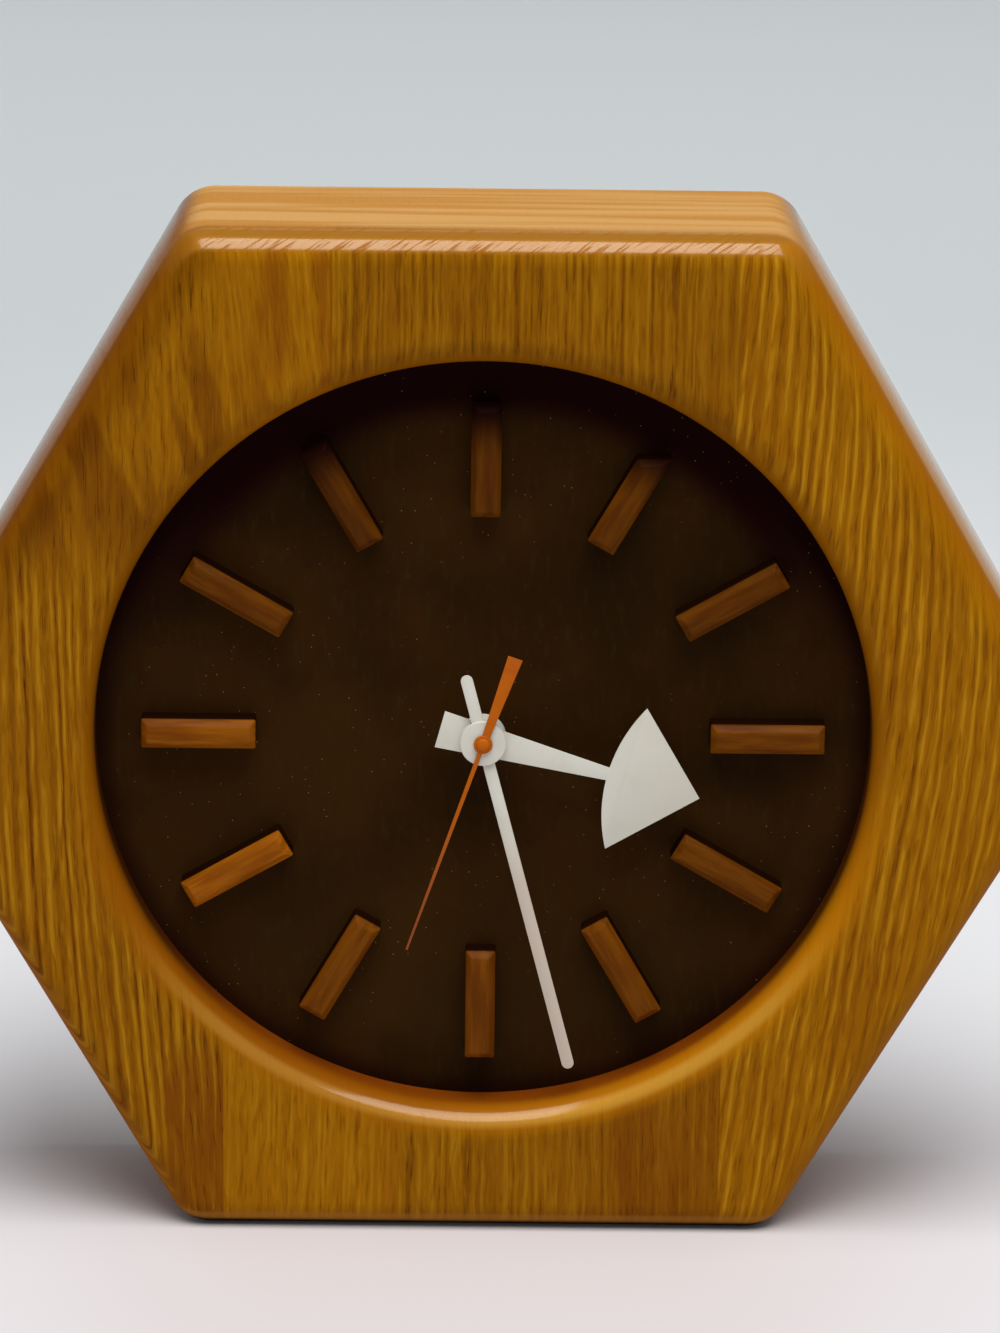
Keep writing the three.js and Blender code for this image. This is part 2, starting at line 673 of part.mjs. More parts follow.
function buildTrain() {
  const thirdPinionPhase = meshPhase(centreTeeth, 0, thirdPinionTeeth, radians(thirdAngle));
  const secondsPinionPhase = meshPhase(thirdTeeth, 0, secondsPinionTeeth, radians(thirdAngle + 180));
  const intermediatePhase = meshPhase(secondsTeeth, 0, intermediatePinionTeeth, radians(intermediateAngle));
  const rotorPhase = meshPhase(intermediateTeeth, 0, rotorTeeth, radians(rotorAngle));

  const centreWheel = gear(centreTeeth, centreModule, 0, centreWheelY, centreWheelY + wheelThickness)
    .subtract(rod(cannonRadius + fitGap, centreWheelY - over, centreWheelY + wheelThickness + over));
  addPiece('centre_wheel', centreWheel, whitePlastic);

  const thirdWheel = gear(thirdTeeth, thirdModule, 0, thirdWheelY, thirdWheelY + wheelThickness)
    .add(gear(thirdPinionTeeth, centreModule, thirdPinionPhase, centreWheelY - fitGap, thirdWheelY + weld))
    .add(rod(arborRadius, arborFrontY, arborBackY));
  addPiece('third_wheel', thirdWheel, whitePlastic, axleAt(thirdAxis.x, thirdAxis.z));

  const secondsWheel = gear(secondsTeeth, fastModule, 0, secondsWheelY, secondsWheelY + wheelThickness)
    .add(gear(
      secondsPinionTeeth, thirdModule, secondsPinionPhase, thirdWheelY - fitGap, secondsWheelY + weld,
    ))
    .subtract(rod(arborRadius + pressGap, thirdWheelY - over, secondsWheelY + wheelThickness + over));
  addPiece('seconds_wheel', secondsWheel, whitePlastic);
  const arborTipY = secondY - handThickness - socketHeadHeight + socketWall + fitGap;
  addPiece('seconds_arbor', rod(arborRadius, arborTipY, arborBackY), steel);

  const intermediate = gear(
    intermediateTeeth, fastModule, 0, fastWheelY, fastWheelY + wheelThickness,
  )
    .add(gear(
      intermediatePinionTeeth, fastModule, intermediatePhase, secondsWheelY - fitGap, fastWheelY + weld,
    ))
    .add(rod(arborRadius, arborFrontY, arborBackY));
  addPiece('intermediate_wheel', intermediate, whitePlastic, axleAt(intermediateAxis.x, intermediateAxis.z));

  const rotorAxle = axleAt(rotorAxis.x, rotorAxis.z);
  const rotor = gear(
    rotorTeeth, fastModule, rotorPhase, fastWheelY - fitGap, fastWheelY + wheelThickness + fitGap,
  )
    .add(rod(arborRadius, arborFrontY, arborBackY));
  addPiece('rotor_pinion', rotor, whitePlastic, rotorAxle);
  const magnetMiddle = statorY + statorThickness / 2;
  const magnet = tube(
    magnetRadius, arborRadius + pressGap, magnetMiddle - magnetLength / 2, magnetMiddle + magnetLength / 2,
    hubSegments,
  );
  addPiece('rotor_magnet', magnet, magnetMetal, rotorAxle);
}

function buildMotor() {
  const windowRight = rotorAxis.x - statorWeb;
  const stator = block(
    statorLeft, rotorAxis.x + statorReach, statorY, coreY, statorBottom, statorTop,
  )
    .subtract(block(
      statorLeft - over, windowRight, statorY - over, coreY + over,
      statorBottom + statorArm, statorTop - statorArm,
    ))
    .subtract(rod(magnetRadius + runningGap, statorY - over, coreY + over, hubSegments)
      .translate([rotorAxis.x, 0, rotorAxis.z]));
  addPiece('stator', stator, steel);

  const coilX = rotorAxis.x - coilOffset;
  const coreBackY = coreY + statorThickness;
  const coreMiddleY = (coreY + coreBackY) / 2;
  const halfCore = coreWidth / 2;
  addPiece('coil_core', block(
    coilX - halfCore, coilX + halfCore, coreY, coreBackY, statorBottom, statorTop,
  ), steel);

  const low = statorBottom + statorArm + fitGap;
  const high = statorTop - statorArm - fitGap;
  const upright = (radius, fromZ, toZ) => rod(radius, fromZ, toZ, hubSegments)
    .rotate([90, 0, 0]).translate([coilX, coreMiddleY, 0]);
  const drumRadius = Math.hypot(halfCore + fitGap, statorThickness / 2 + fitGap) + bobbinWall;
  const passage = block(
    coilX - halfCore - fitGap, coilX + halfCore + fitGap, coreY - fitGap, coreBackY + fitGap,
    low - over, high + over,
  );
  const bobbin = upright(drumRadius, low, high)
    .add(upright(coilRadius, low, low + bobbinFlange))
    .add(upright(coilRadius, high - bobbinFlange, high))
    .subtract(passage);
  addPiece('coil_bobbin', bobbin, whitePlastic);
  const flangeGap = bobbinFlange + pressGap;
  const winding = upright(coilRadius - windingSink, low + flangeGap, high - flangeGap)
    .subtract(upright(drumRadius + pressGap, low, high));
  addPiece('coil_winding', winding, copper);
}

function buildElectronics() {
  const left = boardRight - boardWidth;
  const bottom = boardTop - boardHeight;
  const backFaceY = boardY + boardThickness;
  addPiece('circuit_board', block(left, boardRight, boardY, backFaceY, bottom, boardTop), greenBoard);
  const chipX = left + chipInset;
  const chipZ = bottom + boardHeight / 2;
  addPiece('chip', block(
    chipX - chipSize / 2, chipX + chipSize / 2, backFaceY, backFaceY + chipHeight,
    chipZ - chipSize / 2, chipZ + chipSize / 2,
  ), blackPlastic);
  const can = rod(crystalRadius, -crystalLength / 2, crystalLength / 2).rotate([90, 0, 0]);
  addPiece('quartz_crystal', can.translate([
    chipX + partSpacing, backFaceY + crystalRadius + crystalLift, chipZ,
  ]), steel);
}

function buildBattery() {
  const batteryZ = bayBottom + batteryPlay + batteryRadius;
  const batteryY = floorY + fitGap + batteryRadius;
  const profile = [
    [0, -batteryLength / 2], [batteryRadius - batteryBevel, -batteryLength / 2],
    [batteryRadius, batteryBevel - batteryLength / 2], [batteryRadius, batteryLength / 2 - batteryBevel],
    [batteryRadius - batteryBevel, batteryLength / 2], [batteryNubRadius, batteryLength / 2],
    [batteryNubRadius, batteryLength / 2 + batteryNubLength], [0, batteryLength / 2 + batteryNubLength],
  ];
  const cell = lathe(profile, hubSegments).rotate([0, 0, -90]).translate([0, batteryY, batteryZ]);
  addPiece('battery', cell, batteryLabel);

  const half = contactWidth / 2;
  addPiece('positive_contact', block(
    bayRight - contactThickness, bayRight, floorY + fitGap, batteryY + half,
    batteryZ - half, batteryZ + half,
  ), steel);

  // Leaf spring: foot against the wall, tongue bent out to the battery
  const touchX = -batteryLength / 2 - fitGap;
  const touchHalf = contactTouch / 2;
  const leaf = new THREE.Shape([
    [bayLeft, floorY + fitGap], [bayLeft + contactThickness, floorY + fitGap],
    [touchX, batteryY - touchHalf], [touchX, batteryY + touchHalf],
    [bayLeft + contactThickness, batteryY + half], [bayLeft, batteryY + half],
    [touchX - contactThickness, batteryY + touchHalf], [touchX - contactThickness, batteryY - touchHalf],
  ].map(([x, y]) => new THREE.Vector2(x, y)));
  const strip = new THREE.ExtrudeGeometry(leaf, { depth: contactWidth, bevelEnabled: false });
  strip.translate(0, 0, batteryZ - half);
  addPiece('negative_contact', toSolid(strip), steel);
}

function buildMovementCase() {
  const half = movementSize / 2;
  const gearAxes = [minuteAxis, thirdAxis, intermediateAxis, rotorAxis, knobAxis];
  let shell = block(-half, half, dialBackY, coverY, bayTop, roomTop + shellWall)
    .add(block(
      bayLeft - shellWall, bayRight + shellWall, dialBackY, coverY, bayBottom - shellWall, roomBottom,
    ))
    .add(block(
      -half - earReach, half + earReach, dialBackY, dialBackY + earThickness, -earHeight / 2, earHeight / 2,
    ))
    .subtract(block(-innerHalf, innerHalf, floorY, coverY + over, roomBottom, roomTop))
    .subtract(block(bayLeft, bayRight, floorY, coverY + over, bayBottom, bayTop))
    .subtract(rod(bushRadius + fitGap, dialBackY - over, floorY + over));
  for (const { x, z } of gearAxes) {
    const bearing = rod(arborRadius + runningGap, arborFrontY - fitGap, floorY + over);
    shell = shell.subtract(bearing.translate([x, 0, z]));
  }
  for (const side of [-1, 1]) {
    const hole = rod(movementScrewRadius + fitGap, dialBackY - over, dialBackY + earThickness + over);
    shell = shell.subtract(hole.translate([side * earScrewX, 0, 0]));
  }
  const coilX = rotorAxis.x - coilOffset;
  const posts = [
    [coilX, statorBottom + statorArm / 2, statorY], [coilX, statorTop - statorArm / 2, statorY],
    [boardRight - boardWidth + postInset, boardTop - postInset, boardY],
    [boardRight - postInset, boardTop - boardHeight + postInset, boardY],
  ];
  for (const [x, z, topY] of posts) {
    shell = shell.add(rod(postRadius, floorY - weld, topY).translate([x, 0, z]));
  }
  addPiece('movement_front_case', shell, blackPlastic);

  const coverBackY = coverY + shellWall;
  const skirt = innerHalf - fitGap;
  const skirtBottom = roomBottom + fitGap;
  const skirtTop = roomTop - fitGap;
  let cover = block(-half, half, coverY, coverBackY, bayTop, roomTop + shellWall)
    .add(block(-skirt, skirt, coverY - skirtDepth, coverY + weld, skirtBottom, skirtTop)
      .subtract(block(
        skirtWall - skirt, skirt - skirtWall, coverY - skirtDepth - over, coverY,
        skirtBottom + skirtWall, skirtTop - skirtWall,
      )));
  const rearAxes = [{ x: 0, z: 0 }, minuteAxis, thirdAxis, intermediateAxis, rotorAxis];
  for (const { x, z } of rearAxes) {
    cover = cover
      .add(rod(bearingRadius, coverY - bearingDepth, coverY + weld).translate([x, 0, z]))
      .subtract(rod(arborRadius + runningGap, coverY - bearingDepth - over, coverY).translate([x, 0, z]));
  }
  const knobHole = rod(knobArborRadius + runningGap, coverY - over, coverBackY + over);
  cover = cover.subtract(knobHole.translate([knobAxis.x, 0, knobAxis.z]));
  addPiece('movement_rear_cover', cover, blackPlastic);

  addPiece('centre_bush', tube(bushRadius, bushBore, dialFaceY, floorY, hubSegments), brass);
}

// Slotted screw driven towards the front, its head seated on a face at y = 0
function screw(radius, headRadius, length) {
  const solid = lathe([
    [0, -length], [radius, radius - length], [radius, 0], [headRadius, 0],
    [headRadius, screwHeadHeight / 2], [headRadius - screwHeadHeight / 2, screwHeadHeight],
    [0, screwHeadHeight],
  ], rodSegments);
  return solid.subtract(block(
    -headRadius, headRadius, screwHeadHeight - slotDepth, screwHeadHeight + over,
    -slotWidth / 2, slotWidth / 2,
  ));
}

function buildFasteners() {
  dialScrews.forEach(({ x, z }, i) => {
    const solid = screw(caseScrewRadius, caseScrewHead, dialScrewLength);
    addPiece(`dial_screw_${i + 1}`, solid, steel).position.set(x, dialBackY, z);
  });
  const earY = dialBackY + earThickness;
  const sides = { left: -1, right: 1 };
  for (const [side, sign] of Object.entries(sides)) {
    const short = screw(movementScrewRadius, movementScrewHead, earThickness + movementScrewBite);
    addPiece(`movement_screw_${side}`, short, steel).position.set(sign * earScrewX, earY, 0);
    const long = screw(caseScrewRadius, caseScrewHead, hangerScrewLength);
    addPiece(`hanger_screw_${side}`, long, steel, clock)
      .position.set(sign * hangerScrewSpacing / 2, hangerPlateY + hangerThickness, hangerZ);
  }
}

function buildHanger() {
  const plateBackY = hangerPlateY + hangerThickness;
  const halfWidth = hangerWidth / 2;
  const halfHeight = hangerHeight / 2;
  const holeZ = keyholeFoot + keyholeRadius - halfHeight;
  let solid = block(-halfWidth, halfWidth, hangerPlateY, plateBackY, -halfHeight, halfHeight)
    .subtract(rod(keyholeRadius, hangerPlateY - over, plateBackY + over).translate([0, 0, holeZ]))
    .subtract(block(
      -keySlotWidth / 2, keySlotWidth / 2, hangerPlateY - over, plateBackY + over, holeZ,
      holeZ + keyholeRadius + keySlotLength - keySlotWidth / 2,
    ));
  for (const side of [-1, 1]) {
    const hole = rod(caseScrewRadius + fitGap, hangerPlateY - over, plateBackY + over);
    solid = solid.subtract(hole.translate([side * hangerScrewSpacing / 2, 0, 0]));
  }
  addPiece('hanger_plate', solid, steel, clock).position.z = hangerZ;
}

buildCase();
buildDial();
buildHourBlocks();
buildHands();
buildMotionWork();
buildTrain();
buildMotor();
buildElectronics();
buildBattery();
buildMovementCase();
buildFasteners();
buildHanger();

export default clock;
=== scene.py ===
# Looks for the hexagonal oak wall clock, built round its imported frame.
# Metres, +Z up, and the front faces -Y. Materials and hands are worked out in millimetres.

import math
from types import SimpleNamespace

import bmesh
import bpy
import numpy as np
from mathutils import Matrix, Vector


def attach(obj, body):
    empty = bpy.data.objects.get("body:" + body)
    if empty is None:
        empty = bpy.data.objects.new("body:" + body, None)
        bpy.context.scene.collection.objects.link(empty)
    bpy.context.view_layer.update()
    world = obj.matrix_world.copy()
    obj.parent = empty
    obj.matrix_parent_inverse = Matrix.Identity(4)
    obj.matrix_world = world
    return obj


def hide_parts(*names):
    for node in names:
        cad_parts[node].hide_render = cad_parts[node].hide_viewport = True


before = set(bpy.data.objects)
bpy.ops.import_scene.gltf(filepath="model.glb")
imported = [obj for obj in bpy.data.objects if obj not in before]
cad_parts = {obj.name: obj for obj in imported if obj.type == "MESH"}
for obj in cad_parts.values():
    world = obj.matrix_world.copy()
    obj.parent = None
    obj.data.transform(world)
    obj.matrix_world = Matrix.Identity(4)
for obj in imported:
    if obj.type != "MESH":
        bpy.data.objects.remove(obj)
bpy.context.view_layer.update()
scene = bpy.context.scene
scene.view_settings.view_transform = "Standard"
dialHeight = 140  # the dial's middle above the floor, in millimetres
middle = Vector((0, 0, dialHeight / 1000))  # the hands' axis crosses here


# camera

cameraValues = {
    "location": (-0.005857, -1.521156, 0.612973),
    "yaw": 0.0068, "pitch": 0.2935, "roll": 0.0124,
    "lens": 157.06, "sensor": 36,
}


def addCamera(values):
    yaw, pitch, roll = values["yaw"], values["pitch"], values["roll"]
    look = Vector((math.sin(yaw) * math.cos(pitch), math.cos(yaw) * math.cos(pitch), -math.sin(pitch)))
    level = look.cross(Vector((0, 0, 1))).normalized()
    up = level.cross(look)
    right = math.cos(roll) * level + math.sin(roll) * up
    top = math.cos(roll) * up - math.sin(roll) * level
    camera = bpy.data.objects.new("camera", bpy.data.cameras.new("camera"))
    camera.data.lens = values["lens"]
    camera.data.sensor_width = values["sensor"]
    turned = Matrix((right, top, -look)).transposed().to_4x4()
    camera.matrix_world = Matrix.Translation(values["location"]) @ turned
    scene.collection.objects.link(camera)
    scene.camera = camera


addCamera(cameraValues)
print("camera set")


# shader maths

class Wire:  # one output socket; maths on wires adds Math nodes
    def __init__(self, finish, socket):
        self.finish = finish
        self.socket = socket

    def maths(self, operation, *others):
        values = dict(enumerate((self, *others)))
        return self.finish.node("ShaderNodeMath", {"operation": operation}, values)

    def capped(self, most=1):
        return self.maths("MINIMUM", most)

    def __add__(self, other):
        return self.maths("ADD", other)

    def __sub__(self, other):
        return self.maths("SUBTRACT", other)

    def __rsub__(self, other):
        return self.finish.node("ShaderNodeMath", {"operation": "SUBTRACT"}, {0: other, 1: self})

    def __mul__(self, other):
        return self.maths("MULTIPLY", other)

    def __truediv__(self, other):
        return self.maths("DIVIDE", other)

    __radd__ = __add__
    __rmul__ = __mul__


class Finish:  # one material and the nodes that feed its shader
    def __init__(self, name, values=None):
        self.material = bpy.data.materials.new(name)
        self.material.use_nodes = True
        self.tree = self.material.node_tree
        self.shader = self.tree.nodes["Principled BSDF"]
        for socket, value in (values or {}).items():
            self.set(socket, value)

    def set(self, socket, value):
        self.feed(self.shader.inputs[socket], value)

    def feed(self, socket, value):
        if isinstance(value, Wire):
            self.tree.links.new(value.socket, socket)
        else:
            socket.default_value = value

    def node(self, kind, settings=None, inputs=None, output=0):
        made = self.tree.nodes.new(kind)
        for key, value in (settings or {}).items():
            if key == "stops":
                self.setStops(made.color_ramp, value)
            else:
                setattr(made, key, value)
        for key, value in (inputs or {}).items():
            self.feed(made.inputs[key], value)
        return Wire(self, made.outputs[output])

    def setStops(self, ramp, stops):
        while len(ramp.elements) < len(stops):
            ramp.elements.new(0.5)
        for element, (position, amount) in zip(ramp.elements, stops):
            element.position = position
            element.color = (amount, amount, amount, 1)

    def place(self, scale=1000):  # object coordinates, in millimetres unless a scale is given
        coordinates = self.node("ShaderNodeTexCoord", output="Object")
        return self.stretch(coordinates, (scale, scale, scale))

    def stretch(self, vector, factors):
        return self.node("ShaderNodeVectorMath", {"operation": "MULTIPLY"}, {0: vector, 1: factors})

    def shift(self, vector, offset):
        return self.node("ShaderNodeVectorMath", {"operation": "ADD"}, {0: vector, 1: offset})

    def axes(self, vector):
        split = self.node("ShaderNodeSeparateXYZ", None, {0: vector}).socket.node
        return [Wire(self, socket) for socket in split.outputs]

    def noise(self, vector, factors, detail=2.0):
        values = {"Vector": self.stretch(vector, factors), "Scale": 1.0, "Detail": detail}
        return self.node("ShaderNodeTexNoise", None, values)

    def ramp(self, value, stops):
        return self.node("ShaderNodeValToRGB", {"stops": stops}, {0: value})

    def rise(self, value, start, end):  # 0 before start, 1 after end, smooth between
        return self.node("ShaderNodeMapRange", {"interpolation_type": "SMOOTHSTEP"}, {
            "Value": value, "From Min": start, "From Max": end, "To Min": 0.0, "To Max": 1.0,
        })

    def mix(self, factor, a, b, blend="MIX"):
        settings = {"data_type": "RGBA", "blend_type": blend}
        return self.node("ShaderNodeMix", settings, {0: factor, 6: a, 7: b}, 2)

    def layered(self, colour, *layers):  # each layer, an amount and a tone, lies over those before
        for amount, tone in layers:
            colour = self.mix(amount, colour, tone)
        return colour

    def zones(self, at, zones):
        # how much a point lies in each zone, from 0 to 1: the product of the zone's rises, each
        # along a named axis from where the zone starts to where it is full
        parts = {}
        for name, fades in zones.items():
            first, *others = [self.rise(at[axis], start, full) for axis, start, full in fades]
            parts[name] = math.prod(others, start=first)
        return SimpleNamespace(**at, **parts)

    def bump(self, height, strength, distance):
        self.set("Normal", self.node("ShaderNodeBump", None, {
            "Height": height, "Strength": strength, "Distance": distance,
        }))


def radiusOf(across, up):  # distance from where both are 0
    return (across * across + up * up).maths("SQRT")


def srgb(red, green, blue):  # colour as a picture program gives it, 0 to 255
    def linear(v):
        v /= 255
        return v / 12.92 if v <= 0.04045 else ((v + 0.055) / 1.055) ** 2.4
    return (linear(red), linear(green), linear(blue), 1)


# meshes

nearly = 1e-7  # metres; points this close are one point


def gridFaces(rows, columns, closeRows=False, closeColumns=False):  # four-cornered faces of a grid
    r = np.arange(rows if closeRows else rows - 1)
    c = np.arange(columns if closeColumns else columns - 1)
    r, c = (a.ravel() for a in np.meshgrid(r, c, indexing="ij"))
    r2, c2 = (r + 1) % rows, (c + 1) % columns
    return np.stack((r * columns + c, r * columns + c2, r2 * columns + c2, r2 * columns + c), 1)


def meshFrom(name, points, faces):
    mesh = bpy.data.meshes.new(name)
    faces = faces if isinstance(faces, list) else faces.tolist()
    mesh.from_pydata(np.asarray(points).reshape(-1, 3).tolist(), [], faces)
    return mesh


def meshOf(name, solid):  # takes the mesh out of a bmesh and lets the bmesh go
    mesh = bpy.data.meshes.new(name)
    solid.to_mesh(mesh)
    solid.free()
    return mesh


def merged(mesh, turn=True):  # points that meet become one, and the faces turn outwards
    solid = bmesh.new()
    solid.from_mesh(mesh)
    bmesh.ops.remove_doubles(solid, verts=solid.verts, dist=nearly)
    if turn:
        bmesh.ops.recalc_face_normals(solid, faces=solid.faces)
    solid.to_mesh(mesh)
    solid.free()
    return mesh


def pieceFrom(name, points, faces, smoothAngle=35):
    return addPiece(name, meshFrom(name, points, faces), smoothAngle)


def addPiece(name, mesh, smoothAngle=35, turn=True):
    merged(mesh, turn)
    mesh.polygons.foreach_set("use_smooth", np.ones(len(mesh.polygons), dtype=bool))
    mesh.set_sharp_from_angle(angle=math.radians(smoothAngle))
    piece = bpy.data.objects.new(name, mesh)
    scene.collection.objects.link(piece)
    return piece


def dress(piece, finish, body, slot, *nodes):
    piece.data.materials.clear()
    piece.data.materials.append(finish.material)
    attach(piece, body)
    if nodes:
        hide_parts(*nodes)


# oak

oakColours = {
    "light": srgb(178, 127, 20), "base": srgb(154, 101, 4), "dark": srgb(106, 55, 1),
    "pore": srgb(60, 28, 1), "brown": srgb(128, 72, 4), "curl": srgb(110, 60, 2),
    "edge": srgb(150, 86, 4), "lower": srgb(24, 9, 1), "foot": srgb(158, 106, 40),
    "lipLeft": srgb(138, 76, 4), "lipRight": srgb(184, 114, 6), "gilt": srgb(200, 150, 48),
    "wallLeft": srgb(58, 24, 4), "wallRight": srgb(70, 34, 4), "wallLow": srgb(130, 60, 6),
    "top": srgb(190, 143, 82), "topDark": srgb(176, 122, 54), "highlightBand": srgb(170, 114, 26),
    "ridge": srgb(146, 94, 14), "raw": srgb(186, 146, 92), "dusk": (0.67, 0.6, 0.35, 1),
}

# many of these zones mark painted light and shade, not the wood's own colour
# the parts of the case that have a tone of their own, in millimetres: h is the height above the
# dial's middle, span the distance to either side, edge the distance inside the nearest slanted side
oakZones = {
    "rounding": [("y", -31.2, -27.5)], "rear": [("y", 29.5, 31)], "flank": [("y", -27, -20)],
    "rebate": [("radius", 114, 113.3), ("y", -14.5, -13)],
    "across": [("x", -60, 60)], "upper": [("h", -25, 45)],
    "lipLow": [("radius", 107, 114.5)], "lipHigh": [("radius", 105.5, 110)],
    "curled": [("z", 178, 205), ("z", 264, 240)],
    "dusk": [("edge", 14, 5), ("h", 0, 45), ("x", -20, -50), ("y", -20, -26)],
    "paleFlank": [("h", 0, 40)],
    "litLip": [("h", 10, -60), ("y", -22, -26)],
    "gilt": [("radius", 106, 107.5), ("radius", 110.8, 108.6), ("h", -45, -85)],
    "wall": [("radius", 108.5, 105.5), ("y", -29, -20)], "lowWall": [("h", -50, -95)],
    "straight": [("span", 80, 73)],
    "roll": [("z", 265, 275), ("y", -31, -30), ("y", -22, -24.5)],
    "ridge": [("z", 277.8, 279.2), ("y", -23, -25.5)],
    "level": [("z", 276.8, 279.8), ("y", -25, -16)],
    "foot": [("z", 5.4, 4.2), ("y", -26, -28)], "lower": [("z", 3.2, 1.2)],
    "shine": [("radius", 110.8, 108.6), ("h", -60, -88)],
}


def oakParts(oak, place):  # 0.866 and 0.5 point squarely out of a slanted side
    x, y, z = oak.axes(place)
    h, span = z - dialHeight, x.maths("ABSOLUTE")
    edge = caseValues["flatToFlat"] * 500 - span * 0.866 - h.maths("ABSOLUTE") * 0.5
    at = {"x": x, "y": y, "z": z, "h": h, "span": span, "edge": edge, "radius": radiusOf(x, h)}
    part = oak.zones(at, oakZones)
    part.front = 1 - part.rounding
    part.lip = 1 - part.lipLow * (1 - part.upper) - part.lipHigh * part.upper
    part.back = (part.rear + part.rebate).capped()
    part.flank = part.flank * (1 - part.back)
    part.gilt = part.gilt * (0.5 + part.across * 0.5)
    return part


def stainMask(oak, place, part, stains):  # brown stretches of a board: left, right, low, high, amount
    wobble = (oak.noise(place, (1 / 5, 1 / 5, 1 / 22)) - 0.5) * 8
    streaks = oak.rise(oak.noise(place, (0.7, 0.7, 0.03)), 0.66, 0.5)
    x, z = part.x + wobble, part.z
    total = streaks * 0
    for left, right, low, high, amount in stains:
        span = oak.rise(x, left - 2, left + 2) * (1 - oak.rise(x, right - 2, right + 2))
        level = oak.rise(z, low - 10, low + 10) * (1 - oak.rise(z, high - 10, high + 10))
        total = total + span * level * amount * (0.35 + streaks * 0.65)
    return total


def ringDistance(oak, place, part, v):
    # the year lines run up the board: distance from a leaning line whose lean changes above the
    # dial's middle, wavering at two scales; near a slanting side they hook round in nested loops
    h = part.h
    bent = (h + (h * h + 900).maths("SQRT")) * 0.5 * v["upright"]
    drift = (oak.noise(place, (1 / 34, 1 / 34, 1 / 120), 1) - 0.5) * v["drift"]
    wave = (oak.noise(place, (1 / 6, 1 / 6, 1 / 15)) - 0.5) * v["wave"]
    near = (v["reach"] - part.edge).maths("MAXIMUM", 0)
    hook = near * near * (v["hook"] / v["reach"]) * oak.rise(h, *v["hookSpan"])
    return part.x - v["heart"] - h * v["lean"] - bent + drift + wave + hook + part.y * 0.12


def curlBands(oak, part, short):  # slanting bands of the upper left
    slope = oak.node("ShaderNodeCombineXYZ", None, {0: part.x + part.h * 0.27, 1: part.y, 2: part.z})
    slope = oak.noise(slope, (1 / 7, 1 / 7, 1 / 75), 1) + (short - 0.5) * 0.12
    return oak.rise(slope, 0.47, 0.6) * part.curled * (0.4 + part.front * 0.6)


def oakGrain(oak, place, part, v):
    # year lines, fibres and stains; the face keeps its figure and the rounded rims run plain
    distance = ringDistance(oak, place, part, v)
    ring = distance / v["spacing"]
    oneWay = {"noise_dimensions": "1D"}
    uneven = oak.node("ShaderNodeTexNoise", oneWay, {"W": ring, "Scale": 0.41, "Detail": 1.0})
    ring = ring + uneven * v["uneven"]
    phase = ring.maths("FRACT")
    year = oak.node("ShaderNodeTexWhiteNoise", oneWay, {"W": ring.maths("FLOOR")})
    band = oak.ramp(phase, [(0, 0.2), (0.1, 1.0), (0.32, 0.85), (0.46, 0.0), (0.85, 0.0), (1, 0.2)])
    streak = oak.ramp(phase, [(0.5, 0.0), (0.6, 1.0), (0.78, 1.0), (0.88, 0.0)])
    along = oak.node("ShaderNodeCombineXYZ", None, {0: distance, 1: part.y * 0.15, 2: part.z})
    fibre = oak.noise(along, (1.6, 1, 0.07))
    breaks = oak.noise(along, (0.42, 0.5, 0.05))
    short = oak.noise(along, (1.1, 1, 0.11), 1)
    pore = oak.noise(along, (2.4, 1, 0.13), 1)
    patches = oak.noise(place, (1 / 16, 1 / 16, 1 / 46))
    edgeGrain = oak.noise(place, (0.025, 0.75, 0.025), 3)

    stain = stainMask(oak, place, part, v["stains"])
    calm = 1 - oak.rise(part.z, *v["calm"]) * 0.8
    face = (oak.rise(part.edge, *v["plain"]) * (1 - part.lip) + part.back).capped()
    face = (0.12 + face * 0.88) * calm * (1 - stain * 0.5)
    line = band * (0.4 + year * 0.6) * oak.rise(breaks, *v["broken"])
    gleam = streak * oak.rise(breaks, 0.6, 0.46) * (0.25 + fibre * 1.3) * v["gleam"]
    brushed = 0.3 + part.front * 0.7
    brown = (oak.rise(patches, 0.42, 0.7) * v["brown"] + stain).capped(0.95)
    pore = oak.rise(pore, 0.57, 0.68) * (0.3 + line * 0.7)

    layers = [
        (line * v["contrast"] * face, "dark"),
        ((gleam * face).capped(), "light"),
        (oak.rise(short, 0.56, 0.72) * 0.35 * brushed, "light"),
        (oak.rise(short, 0.43, 0.28) * 0.4 * brushed, "dark"),
    ]
    if v["curl"]:
        layers.append((curlBands(oak, part, short) * (0.45 + fibre * 0.45) * v["curl"], "curl"))
    layers += [
        (brown * (0.5 + fibre) * (0.35 + part.front * 0.65), "brown"),
        (oak.rise(edgeGrain, 0.45, 0.65) * part.flank * 0.7, "dark"),
        (pore * (0.15 + part.front * 0.5) * v["open"], "pore"),
        ((1 - part.front) * (1 - part.back) * 0.55, "edge"),
    ]
    colour = oak.layered(oakColours["base"], *((amount, oakColours[tone]) for amount, tone in layers))
    colour = oak.mix(1.0, colour, (v["tone"], v["tone"] * 0.95, v["tone"] * 0.8, 1), "MULTIPLY")
    return colour, fibre, line, pore


